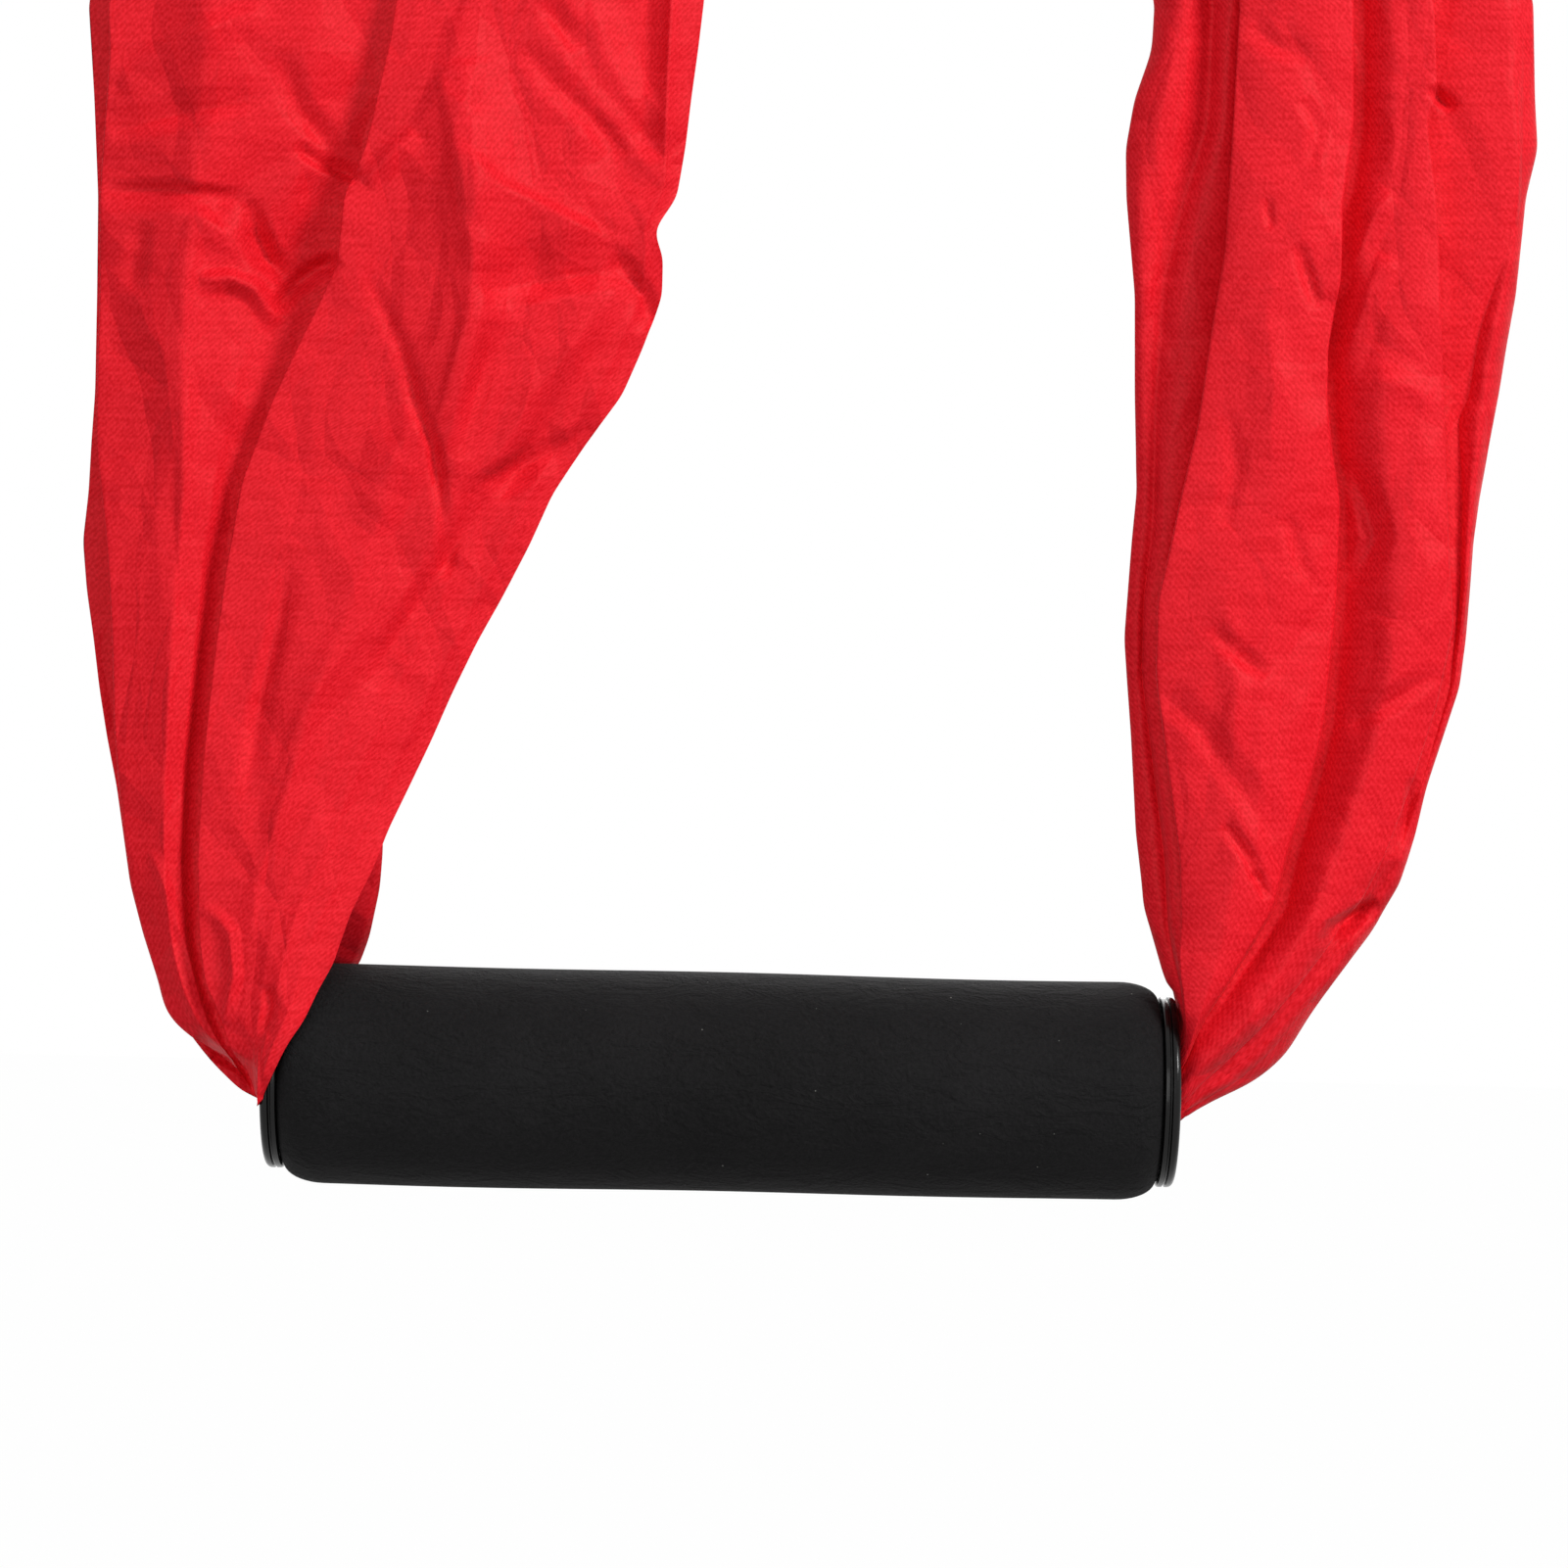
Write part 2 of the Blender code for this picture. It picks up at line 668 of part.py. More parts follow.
def turn_mesh(bm, degrees, axis):
    """Turn a whole mesh about the origin."""
    bm.verts.ensure_lookup_table()
    turn = Matrix.Rotation(math.radians(degrees), 3, axis)
    bmesh.ops.rotate(bm, verts=bm.verts, cent=(0, 0, 0), matrix=turn)


def rivet(name, radius, half_length, head_radius, head_height, place, finish):
    """Pin along Y with a low head at each end."""
    profile = [
        (-half_length - head_height, 0),
        (-half_length - head_height, head_radius - head_height / 2),
        (-half_length - head_height / 2, head_radius),
        (-half_length, head_radius),
        (-half_length, radius),
        (half_length, radius),
        (half_length, head_radius),
        (half_length + head_height / 2, head_radius),
        (half_length + head_height, head_radius - head_height / 2),
        (half_length + head_height, 0),
    ]
    bm = turned(profile, pin_sides, closed=False)
    turn_mesh(bm, 90, "Z")
    return placed(name, bm, finish, place)


def latch_pin(finish):
    """Cross pin through the nose that the gate's open hooks close on."""
    bm = rod_along_y(latch_pin_radius, 2 * (gate_radius - slot_clearance), pin_sides)
    return placed("latch_pin", bm, finish, (hook_bow_radius, 0, latch_pin_z))


def gate_plunger(finish):
    """Domed plunger that the spring presses on the hinge tongue."""
    dome = plunger_radius / 2
    profile = [(0, 0)] + arc((dome, 0), (dome, plunger_radius), 180, 90, round_steps)[1:]
    profile += [(plunger_length, plunger_radius), (plunger_length, 0)]
    bm = turned(profile, pin_sides, closed=False)
    turn_mesh(bm, -90, "Y")
    return placed("gate_plunger", bm, finish, (hook_bow_radius, 0, hinge_pin_z + tongue_radius + seat_gap))


def gate_spring(finish):
    """Compression spring in the gate's bore, between the plunger and the bore's end."""
    low = hinge_pin_z + tongue_radius + 2 * seat_gap + plunger_length + spring_wire_radius
    high = hinge_pin_z + tongue_radius + gate_bore_length - seat_gap - spring_wire_radius
    count = spring_turns * spring_points_per_turn
    curve = bpy.data.curves.new("gate_spring", "CURVE")
    curve.dimensions = "3D"
    curve.bevel_depth = spring_wire_radius
    curve.bevel_resolution = 1
    curve.use_fill_caps = True
    spline = curve.splines.new("POLY")
    spline.points.add(count)
    for i, point in enumerate(spline.points):
        turn = math.tau * i / spring_points_per_turn
        z = low + (high - low) * i / count
        point.co = (spring_radius * math.cos(turn), spring_radius * math.sin(turn), z, 1)
    pitch_gap = (high - low) / spring_turns - 2 * spring_wire_radius
    print("least gap between the spring's turns: %.2f mm" % (pitch_gap * 1000))
    curve.materials.append(finish)
    made = bpy.data.objects.new("gate_spring", curve)
    made.location = (hook_bow_radius, 0, 0)
    bpy.context.scene.collection.objects.link(made)
    return made


def build():
    """Clear the scene and make every piece."""
    for old in list(bpy.data.objects):
        bpy.data.objects.remove(old, do_unlink=True)
    foam = material("foam", (0.016, 0.016, 0.016), 0.85)
    hard_black = material("hard_black", (0.014, 0.013, 0.013), 0.30)
    red_fabric = material("red_fabric", (0.72, 0.010, 0.020), 0.55)
    rope = material("rope", (0.020, 0.020, 0.022), 0.75)
    steel = material("steel", (0.62, 0.62, 0.60), 0.28, 1.0)
    spring_steel = material("spring_steel", (0.45, 0.45, 0.46), 0.35, 1.0)

    foam_grip(foam)
    grip_tube(hard_black)
    end_collar("end_collar_left", -1, hard_black)
    end_collar("end_collar_right", 1, hard_black)
    fabric_core(red_fabric)
    fabric_leg(
        "fabric_leg_left", -1, left_leg_shares, left_front_fold_shares, left_back_fold_shares, red_fabric
    )
    fabric_leg(
        "fabric_leg_right", 1, right_leg_shares, right_front_fold_shares, right_back_fold_shares, red_fabric
    )
    fabric_crown(red_fabric)
    rope_sling(rope)
    splice_sleeve(hard_black)
    hook_body(steel)
    hook_gate(steel)
    latch_pin(steel)
    rivet(
        "gate_hinge_pin",
        hinge_pin_radius,
        gate_radius + pin_gap,
        hinge_pin_head,
        hinge_pin_head_height,
        (hook_bow_radius, 0, hinge_pin_z),
        steel,
    )
    gate_plunger(steel)
    gate_spring(spring_steel)


build()
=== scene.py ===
"""Hand loop of a yoga trapeze swing, dressed over its CAD model.

The origin is where the hook's bow hangs, +Z is up, the grip lies along X and the front faces -Y.
Lengths are in metres. A name that ends in _mm is in millimetres.
"""

import math

import bmesh
import bpy
import numpy as np
from mathutils import Matrix, Vector


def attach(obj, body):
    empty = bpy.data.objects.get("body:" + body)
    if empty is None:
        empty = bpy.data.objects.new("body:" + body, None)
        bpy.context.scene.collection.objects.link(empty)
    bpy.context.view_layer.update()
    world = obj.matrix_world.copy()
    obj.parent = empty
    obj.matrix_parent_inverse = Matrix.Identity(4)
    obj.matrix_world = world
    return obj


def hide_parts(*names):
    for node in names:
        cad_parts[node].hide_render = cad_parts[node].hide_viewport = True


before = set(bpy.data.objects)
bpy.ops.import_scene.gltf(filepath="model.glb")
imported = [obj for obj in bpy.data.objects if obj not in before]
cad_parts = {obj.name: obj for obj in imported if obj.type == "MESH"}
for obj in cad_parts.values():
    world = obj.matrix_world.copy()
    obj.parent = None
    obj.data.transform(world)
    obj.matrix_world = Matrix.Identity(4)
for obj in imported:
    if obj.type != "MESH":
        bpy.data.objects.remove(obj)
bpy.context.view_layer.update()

# Camera: a long lens 0.62 m in front of the grip, level with the hand opening and turned
# 1.3 degrees, so that the grip's right end sits a little lower in the picture.
grip_middle = Vector((-0.006, 0.0, -0.458))
picture_width = 1601  # pixels
frame_width = 0.22256  # what the picture spans at the grip's distance
camera_distance = 0.62
camera_roll = math.radians(-1.28)
aim = grip_middle + Vector((0.0079, 0.0, 0.0425))

camera_data = bpy.data.cameras.new("camera")
camera_data.sensor_width = 36
camera_data.lens = camera_data.sensor_width * camera_distance / frame_width
camera_data.clip_start = 0.01
camera = bpy.data.objects.new("camera", camera_data)
camera.location = aim - Vector((0.0, camera_distance, 0.0))
camera.rotation_euler = (math.radians(90), camera_roll, 0.0)
bpy.context.scene.collection.objects.link(camera)
bpy.context.scene.camera = camera


# Studio: a white room, three soft lamps and a pale floor well below the grip.
def colour(hex_code):
    """An sRGB hex colour as the linear colour that the nodes take."""
    channels = [int(hex_code[i : i + 2], 16) / 255 for i in (1, 3, 5)]
    return (*[c / 12.92 if c <= 0.04045 else ((c + 0.055) / 1.055) ** 2.4 for c in channels], 1.0)


def add_node(tree, kind, inputs=None, **settings):
    """Add a node, set its own settings, then set or link its inputs."""
    made = tree.nodes.new(kind)
    for name, value in settings.items():
        setattr(made, name, value)
    for name, value in (inputs or {}).items():
        if isinstance(value, bpy.types.NodeSocket):
            tree.links.new(value, made.inputs[name])
        else:
            made.inputs[name].default_value = value
    return made


def seen_directly(tree):
    """1 where the camera, a reflection or clear glass looks at the surface, and 0 for its light."""
    path = add_node(tree, "ShaderNodeLightPath").outputs
    seen = add_node(
        tree, "ShaderNodeMath", {0: path["Is Camera Ray"], 1: path["Is Glossy Ray"]}, operation="MAXIMUM"
    ).outputs[0]
    return add_node(tree, "ShaderNodeMath", {0: seen, 1: path["Is Transmission Ray"]}, operation="MAXIMUM").outputs[0]


room_light = 0.39
world = bpy.data.worlds.new("white_room")
world.use_nodes = True
tree = world.node_tree
tree.nodes.clear()
glow = add_node(tree, "ShaderNodeBackground", {"Color": colour("#ffffff"), "Strength": room_light})
white = add_node(tree, "ShaderNodeBackground", {"Color": colour("#ffffff"), "Strength": 1.0})
mixed = add_node(
    tree, "ShaderNodeMixShader", {0: seen_directly(tree), 1: glow.outputs[0], 2: white.outputs[0]}
)
add_node(tree, "ShaderNodeOutputWorld", {"Surface": mixed.outputs[0]})
bpy.context.scene.world = world
bpy.context.scene.view_settings.view_transform = "Standard"

lamp_aim = Vector((0.0, 0.0, -0.38))
for name, place, size, power in (
    ("key_softbox", (0.90, -0.74, 0.30), 0.36, 13.6),
    ("fill_softbox", (-0.30, -1.20, -0.20), 0.80, 5.4),
    ("back_softbox", (0.30, 1.00, 0.15), 0.90, 6.0),
):
    lamp_data = bpy.data.lights.new(name, "AREA")
    lamp_data.shape = "SQUARE"
    lamp_data.size = size
    lamp_data.energy = power
    lamp = bpy.data.objects.new(name, lamp_data)
    lamp.location = place
    lamp.rotation_euler = (lamp_aim - Vector(place)).to_track_quat("-Z", "Y").to_euler()
    bpy.context.scene.collection.objects.link(lamp)

floor_drop = -0.85
floor_half = 6.0
paper_glow = 0.99  # the share of its own white in what the camera sees, so that shadows hardly show
bm = bmesh.new()
bmesh.ops.create_grid(bm, x_segments=1, y_segments=1, size=floor_half)
bmesh.ops.translate(bm, verts=bm.verts, vec=(0, 0, floor_drop))
floor_mesh = bpy.data.meshes.new("floor")
bm.to_mesh(floor_mesh)
bm.free()
paper = bpy.data.materials.new("white_paper")
paper.use_nodes = True
tree = paper.node_tree
tree.nodes.clear()
matt = add_node(tree, "ShaderNodeBsdfDiffuse", {"Color": colour("#a8a8a8")})
bright = add_node(tree, "ShaderNodeEmission", {"Color": colour("#ffffff"), "Strength": 1.0})
share = add_node(tree, "ShaderNodeMath", {0: seen_directly(tree), 1: paper_glow}, operation="MULTIPLY")
mixed = add_node(
    tree, "ShaderNodeMixShader", {0: share.outputs[0], 1: matt.outputs[0], 2: bright.outputs[0]}
)
add_node(tree, "ShaderNodeOutputMaterial", {"Surface": mixed.outputs[0]})
floor_mesh.materials.append(paper)
floor_sheet = bpy.data.objects.new("floor", floor_mesh)
bpy.context.scene.collection.objects.link(floor_sheet)


# Foam sleeve: a skinned closed-cell foam tube, cut to length and pushed over the hard tube. Its
# cut ends are rounded, its skin is matt with shallow wrinkles, and dust clings to it.
def finished(name, bm, material, body, stands_for=()):
    """Turn a bmesh into a piece that rides on a body and stands for CAD nodes."""
    mesh = bpy.data.meshes.new(name)
    bm.to_mesh(mesh)
    bm.free()
    mesh.materials.append(material)
    piece = bpy.data.objects.new(name, mesh)
    bpy.context.scene.collection.objects.link(piece)
    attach(piece, body)
    if stands_for:
        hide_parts(*stands_for)
    return piece


def turned(profile, steps, closed=True):
    """Turn a profile of (along X, radius) round the X axis, with its faces outwards."""
    bm = bmesh.new()
    points = [bm.verts.new((along, 0, radius)) for along, radius in profile]
    followers = points[1:] + points[:1] if closed else points[1:]
    edges = [bm.edges.new(pair) for pair in zip(points, followers)]
    bmesh.ops.spin(
        bm, geom=points + edges, cent=(0, 0, 0), axis=(1, 0, 0), angle=math.tau, steps=steps, use_merge=True
    )
    bmesh.ops.remove_doubles(bm, verts=bm.verts, dist=0.000005)
    bmesh.ops.recalc_face_normals(bm, faces=bm.faces)
    return bm


def arc(centre, radii, start, end, steps):
    """Points on an elliptical arc between two angles in degrees."""
    angles = [math.radians(start + (end - start) * i / steps) for i in range(steps + 1)]
    return [(centre[0] + radii[0] * math.cos(a), centre[1] + radii[1] * math.sin(a)) for a in angles]


def smooth_shaded(bm, angle=30):
    """Shade smooth, but keep edges sharper than the angle crisp."""
    for face in bm.faces:
        face.smooth = True
    for edge in bm.edges:
        edge.smooth = len(edge.link_faces) == 2 and edge.calc_face_angle(0) < math.radians(angle)
    return bm


def principled(name, base, roughness, **inputs):
    """Start a material with one Principled shader, and return it with its tree and shader."""
    material = bpy.data.materials.new(name)
    material.use_nodes = True
    shader = material.node_tree.nodes["Principled BSDF"]
    shader.inputs["Base Color"].default_value = base
    shader.inputs["Roughness"].default_value = roughness
    for key, value in inputs.items():
        shader.inputs[key.replace("_", " ")].default_value = value
    return material, material.node_tree, shader


foam_length = 0.1230
foam_radius = 0.0155
foam_bore = 0.0123
foam_corner = (0.0055, 0.0026)
foam_lip = 0.0002  # the cut ends stand out by this much round the bore
foam_half = foam_length / 2
foam_end = foam_half + foam_lip
end_radius = foam_radius - foam_corner[1]
side_cuts = 60
straight = foam_length - 2 * foam_corner[0]
side_steps = [(-foam_half + foam_corner[0]) + straight * i / side_cuts for i in range(1, side_cuts)]
profile = [(-foam_end, foam_bore), (-foam_end, end_radius - foam_lip)]
profile += arc((-foam_half + foam_corner[0], end_radius), foam_corner, 180, 90, 10)
profile += [(along, foam_radius) for along in side_steps]
profile += arc((foam_half - foam_corner[0], end_radius), foam_corner, 90, 0, 10)
profile += [(foam_end, end_radius - foam_lip), (foam_end, foam_bore)]
bm = turned(profile, 144)

# a soft sleeve is never quite true: its skin, and not its bore, has long shallow swells
long_swell = 0.00010
round_swell = 0.00008
skin_from = foam_bore + 0.0005
for vert in bm.verts:
    along, y, z = vert.co
    radius = math.hypot(y, z)
    if radius > skin_from:
        turn = math.atan2(z, y)
        swell = long_swell * math.sin(along * 95 + 1.3 * math.sin(turn))
        swell += round_swell * math.sin(2 * turn + along * 40)
        vert.co *= Vector((1, 1 + swell / radius, 1 + swell / radius))
bmesh.ops.translate(bm, verts=bm.verts, vec=grip_middle)

# Skinned EVA foam: dead matt charcoal, with a fine grain, faint wrinkles and pale dust specks
foam_skin, tree, shader = principled("eva_foam_skin", colour("#1b1b1b"), 0.78, Specular_IOR_Level=0.11)
place = add_node(tree, "ShaderNodeTexCoord").outputs["Object"]
grain = add_node(tree, "ShaderNodeTexNoise", {"Vector": place, "Scale": 1 / 0.00055, "Detail": 3.0, "Roughness": 0.7})
stretched = add_node(tree, "ShaderNodeMapping", {"Vector": place, "Scale": (0.45, 1.0, 1.0)})
wrinkle = add_node(
    tree,
    "ShaderNodeTexNoise",
    {"Vector": stretched.outputs[0], "Scale": 1 / 0.0042, "Detail": 4.0, "Roughness": 0.62, "Distortion": 1.6},
)
crease = add_node(tree, "ShaderNodeMapRange", {"Value": wrinkle.outputs[0], "From Min": 0.44, "From Max": 0.60})
wrinkled = add_node(tree, "ShaderNodeBump", {"Height": crease.outputs[0], "Strength": 0.5, "Distance": 0.00040})
grained = add_node(
    tree,
    "ShaderNodeBump",
    {"Height": grain.outputs[0], "Strength": 0.9, "Distance": 0.00030, "Normal": wrinkled.outputs[0]},
)
cell = add_node(tree, "ShaderNodeTexVoronoi", {"Vector": place, "Scale": 1 / 0.0026, "Randomness": 1.0})
lottery = add_node(tree, "ShaderNodeSeparateColor", {"Color": cell.outputs["Color"]})
speck_size = add_node(tree, "ShaderNodeMath", {0: lottery.outputs[0], 1: 0.05}, operation="MULTIPLY")
is_speck = add_node(
    tree, "ShaderNodeMath", {0: cell.outputs["Distance"], 1: speck_size.outputs[0]}, operation="LESS_THAN"
)
chosen = add_node(tree, "ShaderNodeMath", {0: lottery.outputs[1], 1: 0.35}, operation="GREATER_THAN")
dust = add_node(tree, "ShaderNodeMath", {0: is_speck.outputs[0], 1: chosen.outputs[0]}, operation="MULTIPLY")
patch = add_node(tree, "ShaderNodeTexNoise", {"Vector": place, "Scale": 1 / 0.022, "Detail": 3.0})
speckle = add_node(tree, "ShaderNodeMapRange", {"Value": grain.outputs[0], "From Min": 0.30, "From Max": 0.72})
patches = add_node(tree, "ShaderNodeMath", {0: patch.outputs[0], 1: 0.7, 2: -0.12}, operation="MULTIPLY_ADD")
worn = add_node(
    tree, "ShaderNodeMath", {0: speckle.outputs[0], 1: 0.45, 2: patches.outputs[0]}, operation="MULTIPLY_ADD"
)
tint = add_node(
    tree,
    "ShaderNodeMix",
    {"Factor": worn.outputs[0], "A": colour("#040404"), "B": colour("#1f1e1f")},
    data_type="RGBA",
)
dusted = add_node(
    tree,
    "ShaderNodeMix",
    {"Factor": dust.outputs[0], "A": tint.outputs["Result"], "B": colour("#73736f")},
    data_type="RGBA",
)
tree.links.new(dusted.outputs["Result"], shader.inputs["Base Color"])
tree.links.new(grained.outputs[0], shader.inputs["Normal"])

foam = finished("foam_sleeve", smooth_shaded(bm), foam_skin, "grip", ["foam_grip"])


# End collars: turned-looking rings of black ABS, moulded with a spigot that presses into the
# tube, a fine groove round the rim and a flared mouth that doesn't chafe the fabric.
collar_radius = 0.01345
collar_thickness = 0.0023
collar_edge = 0.0008
groove_depth = 0.0004
groove_width = 0.0005
spigot_length = 0.0140
spigot_radius = 0.0102
spigot_bore = 0.0089
mouth_flare = 0.0015
back_edge = 0.0003
seat = foam_half + 0.0003  # a collar's back stands just clear of the foam's end
face_x = seat + collar_thickness
groove_x = seat + collar_thickness * 0.42

# Moulded ABS: deep black, glossy, with the faint ripple and hair scratches of a handled moulding
moulded_black, tree, shader = principled("moulded_black_abs", colour("#0a0909"), 0.20, Specular_IOR_Level=0.22)
place = add_node(tree, "ShaderNodeTexCoord").outputs["Object"]
ripple = add_node(tree, "ShaderNodeTexNoise", {"Vector": place, "Scale": 1 / 0.0030, "Detail": 2.0})
scratch = add_node(
    tree, "ShaderNodeTexNoise", {"Vector": place, "Scale": 1 / 0.0006, "Detail": 4.0, "Roughness": 0.7}
)
wear = add_node(
    tree,
    "ShaderNodeMapRange",
    {"Value": scratch.outputs[0], "From Min": 0.3, "From Max": 0.75, "To Min": 0.12, "To Max": 0.30},
)
uneven = add_node(tree, "ShaderNodeBump", {"Height": ripple.outputs[0], "Strength": 0.12, "Distance": 0.0002})
tree.links.new(wear.outputs[0], shader.inputs["Roughness"])
tree.links.new(uneven.outputs[0], shader.inputs["Normal"])

profile = [(seat - spigot_length, spigot_bore), (seat - spigot_length, spigot_radius), (seat, spigot_radius)]
profile += arc((seat + back_edge, collar_radius - back_edge), (back_edge, back_edge), 180, 90, 4)
profile += [
    (groove_x - groove_width / 2, collar_radius),
    (groove_x - groove_width / 6, collar_radius - groove_depth),
    (groove_x + groove_width / 6, collar_radius - groove_depth),
    (groove_x + groove_width / 2, collar_radius),
]
profile += arc((face_x - collar_edge, collar_radius - collar_edge), (collar_edge, collar_edge), 90, 0, 8)
profile += arc((face_x - mouth_flare, spigot_bore + mouth_flare), (mouth_flare, mouth_flare), 0, -90, 8)
for name, side, stands_for in (("collar_left", -1, "end_collar_left"), ("collar_right", 1, "end_collar_right")):
    bm = turned([(side * along, radius) for along, radius in profile], 128)
    bmesh.ops.translate(bm, verts=bm.verts, vec=grip_middle)
    finished(name, smooth_shaded(bm), moulded_black, "grip", [stands_for])


# Hard tube: black polypropylene pipe inside the foam, sawn to length. It carries the grip's load and
# the collars press into its ends, so nothing but its inner wall can be seen.
def coated(node, material):
    """Give a CAD piece that shows as it is a material of its own."""
    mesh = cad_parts[node].data
    mesh.materials.clear()
    mesh.materials.append(material)


# Extruded polypropylene: waxy black with faint lines along it from the die
extruded_pipe, tree, shader = principled("extruded_polypropylene", colour("#161616"), 0.45, Specular_IOR_Level=0.4)
place = add_node(tree, "ShaderNodeTexCoord").outputs["Object"]
drawn = add_node(tree, "ShaderNodeMapping", {"Vector": place, "Scale": (1 / 0.03, 1 / 0.0006, 1 / 0.0006)})
die_lines = add_node(tree, "ShaderNodeTexNoise", {"Vector": drawn.outputs[0], "Scale": 1.0, "Detail": 3.0})
waxy = add_node(tree, "ShaderNodeMapRange", {"Value": die_lines.outputs[0], "To Min": 0.36, "To Max": 0.56})
lined = add_node(tree, "ShaderNodeBump", {"Height": die_lines.outputs[0], "Strength": 0.3, "Distance": 0.00008})
tree.links.new(waxy.outputs[0], shader.inputs["Roughness"])
tree.links.new(lined.outputs[0], shader.inputs["Normal"])
coated("grip_tube", extruded_pipe)


# Fabric strip: one long band of red nylon taffeta with a narrow folded hem along both edges. It
# is pulled through the grip, so it leaves each collar as a bundle and opens into loose folds.
def photo_place(column, row, out_mm=0.0):
    """Where a place in the picture lies when it is out_mm in front of the grip's own plane."""
    right = (column - picture_width / 2) * frame_width / picture_width
    up = (picture_width / 2 - row) * frame_width / picture_width
    nearer = (camera_distance - out_mm / 1000) / camera_distance
    x = (right * math.cos(camera_roll) + up * math.sin(camera_roll)) * nearer
    z = (up * math.cos(camera_roll) - right * math.sin(camera_roll)) * nearer
    return (aim.x + x, -out_mm / 1000, aim.z + z)


